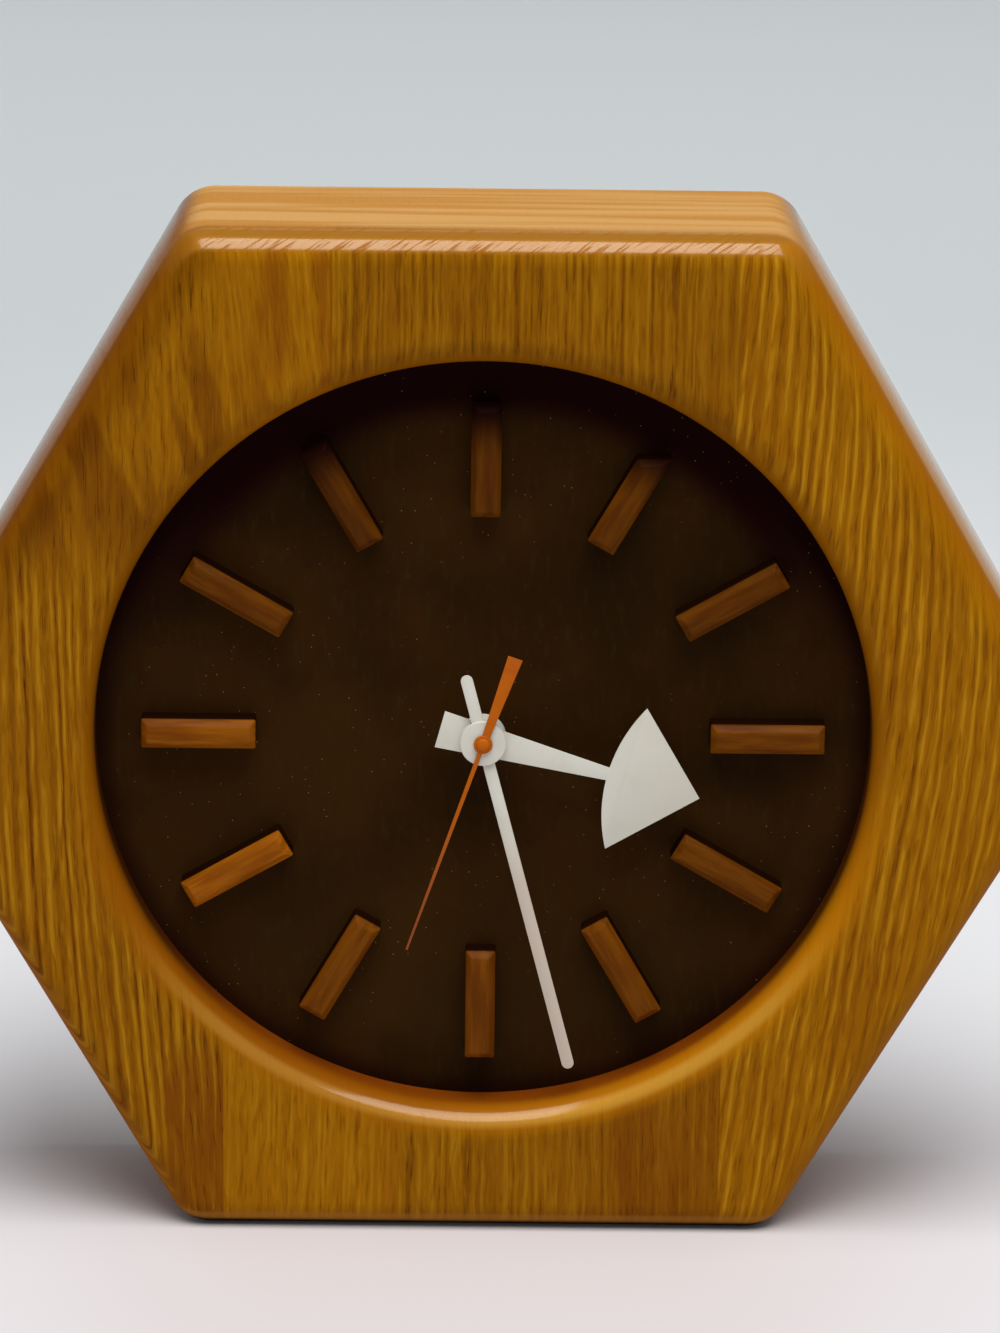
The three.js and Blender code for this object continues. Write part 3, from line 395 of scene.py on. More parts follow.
def makeOak(name, v):
    oak = Finish(name, {"Specular IOR Level": 0.02, "Coat Roughness": 0.13, "Coat IOR": 1.5})
    place = oak.place()
    part = oakParts(oak, place)
    colour, fibre, line, pore = oakGrain(oak, place, part, v)

    # tools left slanting cuts across the upper front rounding, which grows with climb
    climb = part.z + part.y
    slant = oak.node("ShaderNodeCombineXYZ", None, {0: part.x - climb * 0.9, 1: climb * 0.1, 2: 0.0})
    cuts = oak.rise(oak.noise(slant, (0.75, 1, 1)), 0.5, 0.64) * part.straight
    # painted highlight: the top front rounding is lifted to a golden tone where the lamp shows in it, broken
    # by the cuts
    highlightBand = part.roll * (0.25 + part.straight * 0.75)

    # the tones of the sides, the lip, the opening's wall, the top, the back and the underside. Apart from
    # the back's raw oak and part of the top's paler tone, these are painted light and shade
    c = oakColours
    streaks = oak.noise(place, (0.007, 0.16, 0.16), 3)
    # painted shade on the opening's wall, darkest at the sides, and painted light where its lower part faces
    # up
    shadedWallTone = oak.mix(part.lowWall, oak.mix(part.across, c["wallLeft"], c["wallRight"]), c["wallLow"])
    # painted shade: the upper left of the front darkens towards its slanted side
    colour = oak.mix(part.dusk, colour, c["dusk"], "MULTIPLY")
    oak.set("Base Color", oak.layered(
        colour,
        # painted reflection: the upper right side paled with the top's tone, where the bright backdrop shows
        # in it
        (part.flank * part.across * part.paleFlank * 0.6, c["top"]),
        # painted light: the lower lip, which faces the lamp, is lighter, more so on the right where the lamp
        # stands
        (part.lip * part.litLip * 0.8, oak.mix(part.across, c["lipLeft"], c["lipRight"])),
        # painted highlight: gold where the lower lip catches the lamp
        (part.gilt * 0.6, c["gilt"]),
        (part.wall * 0.95, shadedWallTone),
        (highlightBand, oak.mix(cuts * 0.75, c["highlightBand"], c["edge"])),
        # painted shade: a darker band along the top front rounding, between its highlight and the top face
        (part.ridge, c["ridge"]),
        # the top face paler: partly the top's own grain, partly painted sheen in place of the varnish's
        # reflection
        (part.level, oak.mix(oak.rise(streaks, 0.42, 0.62), c["top"], c["topDark"])),
        (part.back * 0.45, oak.mix(fibre, c["raw"], c["base"])),
        # painted reflection: a tan line low on the front rounding, where the floor shows in it
        (part.foot * 0.5, c["foot"]),
        # painted shade: the bottom rounding turns nearly black towards the floor
        (part.lower * (1 - part.back * 0.7), c["lower"]),
    ))
    oak.set("Roughness", 0.42 + fibre * 0.15 + pore * 0.2)

    # varnish shows on the top rounding and the lower lip, less on the sides
    side = ((part.y + 25) / 56).maths("MAXIMUM", 0).maths("POWER", 1.7)
    side = side * (0.95 + part.across * 0.35) * (1 - part.level) * (1 - part.back)
    oak.set("Coat Weight", (0.03 + highlightBand * (1 - cuts * 0.85) * 0.7 + part.shine * 0.5 + side).capped())
    # a little metal on the lip's painted highlight tints the lamp's reflection gold
    oak.set("Metallic", part.gilt * 0.14)
    oak.bump(0 - pore - line * 0.2 - cuts * part.roll * 0.6, 0.3, 0.0003)
    return oak


caseValues = {
    "flatToFlat": 0.280, "depth": 0.063, "cornerRadius": 0.012,
    "frontRounding": 0.008, "backRounding": 0.002, "lipRounding": 0.008,
    "openingRadius": 0.105, "rebateRadius": 0.113, "ledgeY": -0.0159,
    "rearEdge": 0.0008, "sideEdge": 0.0006, "sideMiddle": 0.01,  # rows of points that hold an edge or a side
    "sideSteps": 34, "cornerSteps": 14, "roundSteps": 12,
}

# a quiet straight-grained board, in millimetres; each board's own values go over these:
# heart, lean, upright and spacing place the year lines, drift and wave make them waver,
# reach, hook and hookSpan bend them near a slanted side, and calm and plain are where they fade
quietBoard = {
    "tone": 1.0, "calm": (400, 401), "plain": (2, 6), "heart": -300, "lean": 0, "upright": 0,
    "spacing": 2.6, "drift": 4, "wave": 1.2, "reach": 10, "hook": 0, "hookSpan": (0, 1),
    "contrast": 0.6, "open": 0.75, "uneven": 2, "broken": (0.36, 0.5), "gleam": 0.4, "brown": 0.3,
    "curl": 0, "stains": [], "half": 0, "cuts": [],
}
boards = {  # sides are its left and right ends in metres; half is 1 above the middle, -1 below, 0 for both
    "board_left": {
        "sides": (None, -0.070),
        "tone": 0.92, "calm": (165, 205), "plain": (-1, 1), "heart": -320, "lean": -0.08,
        "upright": 0.08, "spacing": 3.1, "drift": 8, "wave": 1.3, "reach": 4.2, "hook": 2.0,
        "hookSpan": (40, -15), "contrast": 1.0, "open": 1.0, "uneven": 1, "broken": (0.15, 0.35),
        "gleam": 1.0, "brown": 0.2, "curl": 1.0, "stains": [(-86, -66, -10, 50, 0.8)],
    },
    "board_right": {
        "sides": (0.066, None),
        "plain": (4, 8), "lean": 0.13, "upright": -0.07, "spacing": 3.5, "drift": 5, "wave": 0.9,
        "reach": 14, "hook": 0.25, "hookSpan": (-300, -299), "contrast": 0.62, "uneven": 1,
        "broken": (0.2, 0.42), "gleam": 1.0,
    },
    "board_top_left": {
        "sides": (-0.070, -0.041), "half": 1,
        "lean": -0.1, "drift": 8, "wave": 1.6, "contrast": 0.3, "open": 0.45, "curl": 0.6,
        "stains": [(-59, -54, 240, 285, 0.7), (-44.5, -38, 215, 285, 0.8)],
    },
    "board_top_middle": {
        "sides": (-0.041, 0.066), "half": 1,
        "cuts": [  # the hanger plate's recess, and the pocket behind its keyhole
            ((-0.0233, 0.0285, 0.2582), (0.0233, 0.04, 0.2748)),
            ((-0.0065, 0.0195, 0.2602), (0.0065, 0.03, 0.2728)),
        ],
        "tone": 0.83, "heart": -260, "drift": 3, "wave": 0.9, "contrast": 0.7, "open": 0.8,
        "gleam": 0.5, "brown": 0.35,
    },
    "board_bottom_left": {
        "sides": (-0.070, -0.022), "half": -1,
        "tone": 1.02, "heart": -290, "lean": 0.02, "spacing": 2.8, "contrast": 0.25, "open": 0.5,
        "brown": 0.2, "stains": [(-27, -20, -10, 60, 0.4)],
    },
    "board_bottom_middle": {
        "sides": (-0.022, 0.066), "half": -1,
        "tone": 0.87, "heart": -240, "spacing": 3.8, "gleam": 0.7,
        "stains": [(38, 72, -10, 60, 0.6), (20, 40, -10, 60, 0.3)],
    },
}


def caseOutline(v):
    # round the hexagon: corner arcs of evenly turned normals joined by straight sides; a point at an
    # inset is the skeleton point plus (corner radius - inset) times the normal
    reach = (v["flatToFlat"] / 2 - v["cornerRadius"]) / math.cos(math.pi / 6)
    corner = np.arange(6) * math.pi / 3
    points = reach * np.stack((np.cos(corner), np.sin(corner)), 1)
    turn = np.linspace(-math.pi / 6, math.pi / 6, v["cornerSteps"] + 1)
    slide = np.linspace(0, 1, v["sideSteps"] + 1)[1:-1]
    arcAngles = corner[:, None] + turn
    sideAngles = np.repeat(corner[:, None] + math.pi / 6, len(slide), 1)
    arcs = np.repeat(points[:, None], len(turn), 1)
    sides = points[:, None] * (1 - slide)[:, None] + np.roll(points, -1, 0)[:, None] * slide[:, None]
    skeleton = np.concatenate((arcs, sides), 1).reshape(-1, 2)
    angles = np.concatenate((arcAngles, sideAngles), 1).ravel()
    return skeleton, np.stack((np.cos(angles), np.sin(angles)), 1)


def caseGrid(v):
    # closed section carried round the case: front rounding, front face, lip, wall, ledge, rebate,
    # back face, back rounding, side
    skeleton, normal = caseOutline(v)
    front, back = -v["depth"] / 2, v["depth"] / 2
    rounding, backRounding, lip = v["frontRounding"], v["backRounding"], v["lipRounding"]
    opening, rebate, ledge, rear = v["openingRadius"], v["rebateRadius"], v["ledgeY"], v["rearEdge"]
    around = np.arctan2(*(skeleton + (v["cornerRadius"] - rounding) * normal).T[::-1])
    spoke = np.stack((np.cos(around), np.sin(around)), 1)
    turn = np.linspace(0, math.pi / 2, v["roundSteps"] + 1)

    def outer(inset, y):
        return skeleton + (v["cornerRadius"] - inset) * normal, y

    def inner(radius, y):
        return radius * spoke, y

    rows = [outer(rounding * (1 - math.sin(t)), front + rounding * (1 - math.cos(t))) for t in turn[::-1]]
    faceOut, faceIn = rows[-1][0], inner(opening + lip, front)[0]
    rows += [(faceOut * (1 - w) + faceIn * w, front) for w in (0.02, 0.25, 0.5, 0.75, 0.98)]
    rows += [inner(opening + lip * (1 - math.sin(t)), front + lip * (1 - math.cos(t))) for t in turn]
    rows += [inner(opening, ledge), inner(rebate, ledge)]
    rows += [inner(rebate, y) for y in (ledge + rear, 0, back - rear)]
    rows += [inner(rebate + rear, back)]
    rimIn, rimOut = rows[-1][0], outer(backRounding, back)[0]
    rows += [(rimIn * (1 - w) + rimOut * w, back) for w in (0.03, 0.5, 0.97)]
    rows += [outer(backRounding * (1 - math.cos(t)), back - backRounding * (1 - math.sin(t)))
             for t in turn[::-3]]
    sideBack, sideFront = back - backRounding - v["sideEdge"], front + rounding + v["sideEdge"]
    rows += [outer(0, y) for y in (sideBack, v["sideMiddle"], sideFront)]
    grid = np.empty((len(rows), len(skeleton), 3))
    for row, (flat, y) in enumerate(rows):
        grid[row, :, 0], grid[row, :, 1], grid[row, :, 2] = flat[:, 0], y, flat[:, 1] + middle.z
    return grid


def sliceOff(solid, place, direction):  # drops what lies beyond a plane and closes the cut
    bmesh.ops.bisect_plane(solid, geom=[*solid.verts, *solid.edges, *solid.faces], dist=nearly,
                           plane_co=place, plane_no=direction, clear_outer=True)
    bmesh.ops.edgeloop_fill(solid, edges=[e for e in solid.edges if e.is_boundary])


def cutOut(piece, low, high):  # takes a box out of a piece, for good
    ends = np.array((low, high))
    corners = np.stack(np.meshgrid(*ends.T, indexing="ij"), -1).reshape(-1, 3)
    sides = [(0, 1, 3, 2), (4, 6, 7, 5), (0, 4, 5, 1), (2, 3, 7, 6), (0, 2, 6, 4), (1, 5, 7, 3)]
    cutter = pieceFrom("cutter", corners, sides)
    cutter.data.polygons.foreach_set("use_smooth", np.zeros(len(sides), dtype=bool))
    tool = piece.modifiers.new("cut", "BOOLEAN")
    tool.operation, tool.solver, tool.object = "DIFFERENCE", "EXACT", cutter
    view = bpy.context.evaluated_depsgraph_get()
    piece.data = bpy.data.meshes.new_from_object(piece.evaluated_get(view))
    piece.modifiers.clear()
    piece.data.set_sharp_from_angle(angle=math.radians(30))
    bpy.data.objects.remove(cutter)


def addCase(v):
    grid = caseGrid(v)
    whole = meshFrom("case", grid, gridFaces(*grid.shape[:2], True, True))
    for name, own in boards.items():
        board = {**quietBoard, **own}
        solid = bmesh.new()
        solid.from_mesh(whole)
        for end, outwards in zip(board["sides"], (-1, 1)):
            if end is not None:
                sliceOff(solid, (end, 0, 0), (outwards, 0, 0))
        if board["half"]:
            sliceOff(solid, middle, (0, 0, -board["half"]))
        piece = addPiece(name + "_oak", meshOf(name, solid), 30)
        for cut in board["cuts"]:
            cutOut(piece, *cut)
        dress(piece, makeOak(name + "_oak", board), "case", "oak", name)
    bpy.data.meshes.remove(whole)


addCase(caseValues)
print("case boards made:", len(boards))


# dial and hour blocks

dialValues = {
    "dark": srgb(37, 21, 4), "warm": srgb(51, 29, 6), "olive": srgb(50, 38, 14), "speck": srgb(150, 134, 96),
    "shade": srgb(26, 2, 2), "low": srgb(58, 37, 12), "board": srgb(112, 76, 46), "fleck": srgb(88, 58, 34),
}
dialZones = {  # millimetres; h is the height above the dial's middle
    "upperRim": [("radius", 84, 95), ("h", 10, 70)], "rim": [("radius", 98, 105)],
    "low": [("h", -30, -80), ("radius", 100, 84)], "rear": [("y", -15.6, -15.2)],
}
blockValues = {
    "length": 0.0309, "width": 0.0081, "inner": 0.0615, "base": -0.0159, "height": 0.008, "chamfer": 0.0017,
    "corner": 0.0005, "skew": 0.6,
    "light": srgb(146, 82, 8), "dark": srgb(108, 54, 3), "red": srgb(120, 56, 6),
    "outer": srgb(22, 3, 2), "side": srgb(28, 10, 3),
    "tones": (0.48, 0.46, 0.6, 0.5, 0.6, 0.64, 0.62, 1.2, 0.92, 0.5, 0.38, 0.42),  # one o'clock first
}
# outer is a painted shadow of the case's upper lip on the upper blocks
blockZones = {"outer": [("radius", 76, 92), ("h", 40, 85)], "side": [("y", -22, -21.3)]}


def dressNode(name, finish):
    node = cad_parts[name]
    node.data.materials.clear()
    node.data.materials.append(finish.material)


def aboutMiddle(finish, place, zones):  # the place as seen from the dial's middle, and its zones
    spot = finish.shift(place, (0, 0, -dialHeight))
    x, y, h = finish.axes(spot)
    return spot, finish.zones({"x": x, "y": y, "h": h, "radius": radiusOf(x, h)}, zones)


def makeDial(v):
    dial = Finish("dial_stain", {"Specular IOR Level": 0.02})
    place = dial.place()
    _, part = aboutMiddle(dial, place, dialZones)
    cloud = dial.noise(place, (1 / 42, 1 / 42, 1 / 42), 4)
    fine = dial.noise(place, (0.5, 0.5, 0.14), 3)
    matted = dial.noise(place, (1.1, 1.1, 1.1), 4)
    cells = {"Vector": dial.stretch(place, (0.085, 0.085, 0.085))}
    specks = dial.node("ShaderNodeTexVoronoi", {"feature": "F1"}, cells)
    dust = dial.rise(specks, 0.075, 0.03) * dial.rise(cloud, 0.46, 0.56)
    dial.set("Base Color", dial.layered(
        v["dark"],
        (dial.rise(cloud, 0.35, 0.65), v["warm"]),
        (dial.rise(fine, 0.5, 0.8) * 0.5, v["olive"]),
        # painted light: the lower dial lighter, where more light reaches it
        (part.low * 0.45, v["low"]),
        ((part.upperRim + part.rim * 0.6).capped(), v["shade"]),  # painted shade along the rim, deepest above as the shadow of the case's upper lip
        (dust * 0.8, v["speck"]),
        (part.rear, dial.mix(dial.rise(matted, 0.35, 0.65), v["board"], v["fleck"])),
    ))
    dial.set("Roughness", 0.5 + fine * 0.2)
    dial.bump(fine, 0.12, 0.0002)
    dressNode("dial_plate", dial)


def makeBlockWood(hour, v):
    wood = Finish(f"block_{hour:02d}_wood", {"Specular IOR Level": 0.02, "Coat Roughness": 0.25})
    spot, part = aboutMiddle(wood, wood.place(), blockZones)
    place = wood.node("ShaderNodeMapping", {"vector_type": "POINT"}, {  # each block has wood of its own
        "Vector": spot, "Rotation": (0, -math.radians(30 * hour), 0), "Location": (37 * hour, 0, 0),
    })
    tone = v["tones"][hour - 1]
    grain = wood.noise(place, (0.4, 0.4, 0.05), 3)
    fine = wood.noise(place, (3.2, 3.2, 0.22))
    red = wood.rise(wood.noise(place, (0.35, 0.35, 0.08), 1), 0.5, 0.7)
    colour = wood.layered(
        v["light"],
        (wood.rise(grain, 0.35, 0.7) * 0.8, v["dark"]),
        (red * 0.35, v["red"]),
        (wood.rise(fine, 0.5, 0.75) * 0.25, v["dark"]),
    )
    colour = wood.mix(1.0, colour, (tone, tone, tone, 1), "MULTIPLY")
    colour = wood.mix(part.outer, colour, v["outer"])  # painted shadow: the upper blocks darken toward the rim, in the shade of the case's upper lip
    wood.set("Base Color", wood.mix(part.side, colour, v["side"]))  # their sides are dark, near the dial's tone
    wood.set("Roughness", 0.42 + fine * 0.15)
    wood.set("Coat Weight", (1 - part.outer) * 0.04)
    wood.bump(fine + grain, 0.25, 0.0002)
    return wood


def roundedRectangle(halfWide, halfLong, radius, steps=4):
    # four quarter turns about the corner centres, joined by the straight sides
    turn = np.linspace(0, math.pi / 2, steps + 1)
    angles = (np.arange(4)[:, None] * math.pi / 2 + turn).ravel()
    signs = np.repeat(np.array([(1, 1), (-1, 1), (-1, -1), (1, -1)]), steps + 1, 0)
    centres = signs * (halfWide - radius, halfLong - radius)
    return centres + radius * np.stack((np.cos(angles), np.sin(angles)), 1)


def turnedAbout(points, degrees):  # clockwise from twelve, about the dial's middle
    a = math.radians(degrees)
    u, y, w = points[..., 0], points[..., 1], points[..., 2]
    spun = np.stack((u * math.cos(a) + w * math.sin(a), y, w * math.cos(a) - u * math.sin(a)), -1)
    return spun + np.array(middle)


def addBlock(hour, v):
    # rings of a rounded rectangle climb the side, turn softly on to the chamfer and on to the top
    c, top = v["chamfer"], v["base"] - v["height"]
    levels = [
        (0, v["base"]), (0, top + c + 0.0003), (0.00006, top + c + 0.00008), (0.0002, top + c - 0.00015),
        (c - 0.0003, top + 0.0003), (c, top + 0.00008), (c + 0.0003, top),
    ]
    rings = []
    for inset, y in levels:
        flat = roundedRectangle(v["width"] / 2 - inset, v["length"] / 2 - inset, v["corner"])
        if hour == 1:  # its outer end is cut level
            cut = (flat[:, 1] > 0) * v["skew"] * (flat[:, 0] - v["width"] / 2)
            flat = flat + np.stack((0 * cut, cut), 1)
        wide, along = flat.T
        rings.append(np.stack((wide, np.full(len(flat), y), along + v["inner"] + v["length"] / 2), -1))
    rings = np.array(rings)
    count = rings.shape[1]
    faces = gridFaces(len(rings), count, False, True).tolist()
    faces += [list(range(count))[::-1], [(len(rings) - 1) * count + i for i in range(count)]]
    node = f"hour_block_{hour:02d}"
    piece = pieceFrom(node + "_wood", turnedAbout(rings, 30 * hour), faces, 30)
    dress(piece, makeBlockWood(hour, v), "case", "block_wood", node)


makeDial(dialValues)
for hour in range(1, 13):
    addBlock(hour, blockValues)
print("dial and hour blocks made")


# hands

handValues = {
    "thickness": 0.5, "bevel": 0.1, "hub": 6.2,
    "white": srgb(212, 210, 198), "aged": srgb(203, 199, 183), "dull": srgb(197, 181, 165),
    "orange": srgb(184, 92, 2), "worn": srgb(160, 68, 1), "brown": srgb(140, 72, 38),
}
hourValues = {
    "angle": 105.04, "back": -25.2, "side": 29.2, "bulge": 5.2, "neck": 3.6, "tail": 12.1, "tailWidth": 10.5,
    "tip": 60.8, "hubRise": 0.22, "hubReach": 4.2, "dulled": (30, 62),
}
minuteValues = {
    "angle": 165.24, "back": -27.1, "width": 3.3, "tip": 96.5, "tail": 19.5, "hubRise": 1.0, "hubReach": 0.4,
    "dulled": (14, 48),
}
secondValues = {
    "angle": 199, "back": -29.0, "tip": 62, "tipWidth": 0.6, "rootWidth": 1.25, "tail": 25.8,
    "tailWidth": 4.1, "tailRoot": 1.9, "hub": 2.55, "head": 1.8, "headHeight": 1.1, "sunk": 0.1,
    "dulled": (12, 60),
}


def arc(centre, radius, start, end, steps):
    turn = np.linspace(start, end, steps + 1)
    return [(centre[0] + radius * math.cos(t), centre[1] + radius * math.sin(t)) for t in turn]


def hourOutline(v):  # square tail, tapered neck, and a quarter fan whose inner edge bulges inwards
    half = v["side"] * math.sqrt(0.5)
    shoulder = v["tip"] - half
    curve = (half * half + v["bulge"] ** 2) / (2 * v["bulge"])
    centre, neck, down = (0, shoulder - v["bulge"] + curve), v["neck"] / 2, -math.pi / 2
    neckTurn, shoulderTurn = math.asin(neck / curve), math.asin(half / curve)
    return [
        (-v["tailWidth"] / 2, -v["tail"]), (v["tailWidth"] / 2, -v["tail"]),
        *arc(centre, curve, down + neckTurn, down + shoulderTurn, 14), (0, v["tip"]),
        *arc(centre, curve, down - shoulderTurn, down - neckTurn, 14),
    ]


def minuteOutline(v):  # a bar with round ends
    half = v["width"] / 2
    far = arc((0, v["tip"] - half), half, 0, math.pi, 12)
    return far + arc((0, half - v["tail"]), half, math.pi, 2 * math.pi, 12)


def secondOutline(v):  # a needle one way and a widening tail the other
    tail = [(v["tailWidth"], -v["tail"]), (v["tailRoot"], 0)]
    sides = tail + [(v["rootWidth"], 0.5), (v["tipWidth"], v["tip"])]
    return [(w / 2, z) for w, z in sides] + [(-w / 2, z) for w, z in sides[::-1]]


def addBar(name, outline, back, thickness, bevel, degrees):  # a flat plate with softened edges
    solid = bmesh.new()
    ends = [[solid.verts.new((u, y, w)) for u, w in outline] for y in (back - thickness, back)]
    solid.faces.new(ends[0])
    solid.faces.new(ends[1][::-1])
    for i in range(len(outline)):
        j = (i + 1) % len(outline)
        solid.faces.new((ends[0][i], ends[1][i], ends[1][j], ends[0][j]))
    bmesh.ops.recalc_face_normals(solid, faces=solid.faces)
    rims = [e for e in solid.edges if e.calc_face_angle(0) > 1.2]  # radians
    bmesh.ops.bevel(solid, geom=rims, offset=bevel, segments=2, profile=0.6, affect="EDGES",
                    clamp_overlap=True)
    mesh = meshOf(name, solid)
    mesh.transform(handPlace(degrees))
    return mesh


def handPlace(degrees):  # millimetres about the axis to metres in the frame
    turned = Matrix.Translation(middle) @ Matrix.Rotation(math.radians(degrees), 4, "Y")
    return turned @ Matrix.Scale(0.001, 4)


def lathe(name, profile, place=None, steps=64):  # profile of radius and y, swept round the y axis
    turn = np.linspace(0, 2 * math.pi, steps, endpoint=False)
    radius, y = np.array(profile).T
    points = np.stack(np.broadcast_arrays(
        radius[:, None] * np.cos(turn), y[:, None], radius[:, None] * np.sin(turn)), -1)
    mesh = meshFrom(name, points, gridFaces(len(y), steps, False, True))
    mesh.transform(place or handPlace(0))
    return mesh


def joined(name, meshes, smoothAngle=40, turn=True):
    solid = bmesh.new()
    for mesh in meshes:
        solid.from_mesh(mesh)
        bpy.data.meshes.remove(mesh)
    return addPiece(name, meshOf(name, solid), smoothAngle, turn)


def hubDisc(name, radius, front, back, bend=0.2):  # a quarter turn softens its front edge
    rim = [(radius - bend * (1 - math.cos(t)), front + bend - bend * math.sin(t))
           for t in np.linspace(0, math.pi / 2, 6)[::-1]]
    return lathe(name, [(0, front), *rim, (radius, back), (0, back)])


def capDome(name, radius, height, front, sunk):  # a low dome on an upright rim, from the axis outwards
    curve = [(radius * math.sin(t), front - height * (0.35 + 0.65 * math.cos(t)))
             for t in np.linspace(0.15, math.pi / 2, 8)]
    return lathe(name, [(0, front - height), *curve, (radius, front + sunk), (0, front + sunk)])


def makePaint(name, colour, worn, tip, dulled):
    paint = Finish(name, {"Specular IOR Level": 0.12})
    place = paint.place()
    cloud = paint.noise(place, (0.12, 0.12, 0.12), 4)
    fine = paint.noise(place, (1.6, 1.6, 1.6))
    _, part = aboutMiddle(paint, place, {"far": [("radius", *dulled)]})  # duller towards the hand's end
    patches = paint.rise(cloud, 0.45, 0.75) * 0.55
    paint.set("Base Color", paint.layered(colour, (patches, worn), (part.far * 0.85, tip)))
    paint.set("Roughness", 0.45 + fine * 0.15)
    paint.bump(fine, 0.06, 0.0001)
    return paint


def addHands(v):
    pairs = (
        ("hour_hand", hourValues, hourOutline, v["aged"]),
        ("minute_hand", minuteValues, minuteOutline, v["dull"]),
    )
    for node, s, outline, tip in pairs:
        white = makePaint(node + "_paint", v["white"], v["aged"], tip, s["dulled"])
        front = s["back"] - v["thickness"] - s["hubRise"]
        bar = addBar(node, outline(s), s["back"], v["thickness"], v["bevel"], s["angle"])
        hub = hubDisc(node, v["hub"], front, s["back"] + s["hubReach"])
        piece = joined(node + "_painted", [bar, hub])
        dress(piece, white, node.replace("hand", "group"), "hand_white", node)
    s = secondValues
    orange = makePaint("hand_orange_paint", v["orange"], v["worn"], v["brown"], s["dulled"])
    front = s["back"] - v["thickness"]
    bar = addBar("needle", secondOutline(s), s["back"], v["thickness"], v["bevel"], s["angle"])
    needle = joined("second_hand_painted", [bar, hubDisc("collar", s["hub"], front - s["sunk"], s["back"])])
    dress(needle, orange, "second_group", "hand_orange", "second_hand")
    cap = joined("second_hand_cap", [capDome("cap", s["head"], s["headHeight"], front, s["sunk"])])
    dress(cap, orange, "second_group", "hand_orange", "second_hand_socket")


addHands(handValues)
print("hands made")


# movement and fixings, millimetres about the hands' axis

def makePlastic(name, v):  # moulded, with a fine grain and a few rubbed or dusty places
    plastic = Finish(name, {"Specular IOR Level": 0.4})
    place = plastic.place()
    grain = plastic.noise(place, (3.5, 3.5, 3.5))
    cloud = plastic.noise(place, (0.09, 0.09, 0.09), 4)
    flow = plastic.noise(place, (0.5, 0.5, 0.08))
    patches, streaks = plastic.rise(cloud, 0.42, 0.72) * 0.6, plastic.rise(flow, 0.5, 0.8) * 0.3
    layers = [(patches, v["worn"]), (streaks, v["worn"])]
    if "rubbed" in v:  # raised signs are rubbed paler
        _, y, _ = plastic.axes(place)
        layers.append((plastic.rise(y, 5.8, 5.95) * (0.5 + cloud), v["rubbed"]))
    plastic.set("Base Color", plastic.layered(v["colour"], *layers))
    plastic.set("Roughness", v["rough"] + grain * 0.15 + cloud * 0.08)
    plastic.bump(grain, v["grain"], 0.00012)
    return plastic


def makeMetal(name, v):  # brushed or drawn one way, stained in clouds
    metal = Finish(name, {"Metallic": 1.0})
    place = metal.place()
    cloud = metal.noise(place, (0.16, 0.16, 0.16), 4)
    brushed = metal.noise(place, v["brush"], 3)
    spots = metal.rise(metal.noise(place, (0.9, 0.9, 0.9)), 0.62, 0.74)
    amounts = (metal.rise(cloud, 0.4, 0.72) * 0.7, metal.rise(brushed, 0.45, 0.7) * 0.3, spots * 0.35)
    metal.set("Base Color", metal.layered(v["colour"], *((amount, v["stain"]) for amount in amounts)))
    metal.set("Roughness", v["rough"] + brushed * 0.14 + spots * 0.15)
    metal.bump(brushed, 0.2, 0.0001)
    return metal


def makeWinding(name, v):  # rings of enamelled wire up the coil, with painted shade in the grooves between turns
    wire = Finish(name, {"Metallic": 1.0})
    place = wire.place()
    _, _, z = wire.axes(place)
    uneven = wire.noise(place, (0.8, 0.8, 0.8))
    turn = ((z + uneven * 0.08) * (2 * math.pi / v["pitch"])).maths("SINE") * 0.5 + 0.5
    wire.set("Base Color", wire.mix(turn * (0.6 + uneven * 0.5), v["gap"], v["colour"]))
    wire.set("Roughness", 0.3 + uneven * 0.2)
    wire.bump(turn, 0.6, 0.0001)
    return wire


def makeCircuit(name, v):  # tracks and round pads under green lacquer
    board = Finish(name, {"Coat Weight": 0.5, "Coat Roughness": 0.2})
    place = board.place()
    x, _, _ = board.axes(place)
    cells = {"Vector": board.stretch(place, (0.42, 0.1, 0.42)), "Randomness": 0.2}
    pads = board.node("ShaderNodeTexVoronoi", {"feature": "F1"}, cells)
    steps = board.noise(place, (0.25, 0, 0.06), 0)
    track = ((x * 1.1 + steps * 6).maths("FRACT") - 0.5).maths("ABSOLUTE")
    track, pad = board.rise(track, 0.22, 0.17), board.rise(pads, 0.2, 0.15)
    colour = board.mix(track * 0.8, v["colour"], v["track"])
    board.set("Base Color", board.mix(pad, colour, v["solder"]))
    board.set("Metallic", pad)
    board.set("Roughness", 0.45 - pad * 0.15)
    board.bump(pad + track * 0.4, 0.4, 0.0001)
    return board


sleeveZones = {  # millimetres from the cell's middle; off is the distance from its axis
    "flatEnd": [("x", -24.45, -24.5)], "buttonEnd": [("x", 24.0, 24.1)], "bare": [("off", 6.75, 6.6)],
    "band": [("x", 11.9, 12.1)], "line": [("x", 10.4, 10.5), ("x", 11.1, 11.0)],
    "dash": [("high", 0.5, 0.4), ("wide", 1.9, 1.8)], "upright": [("high", 1.9, 1.8), ("wide", 0.5, 0.4)],
}


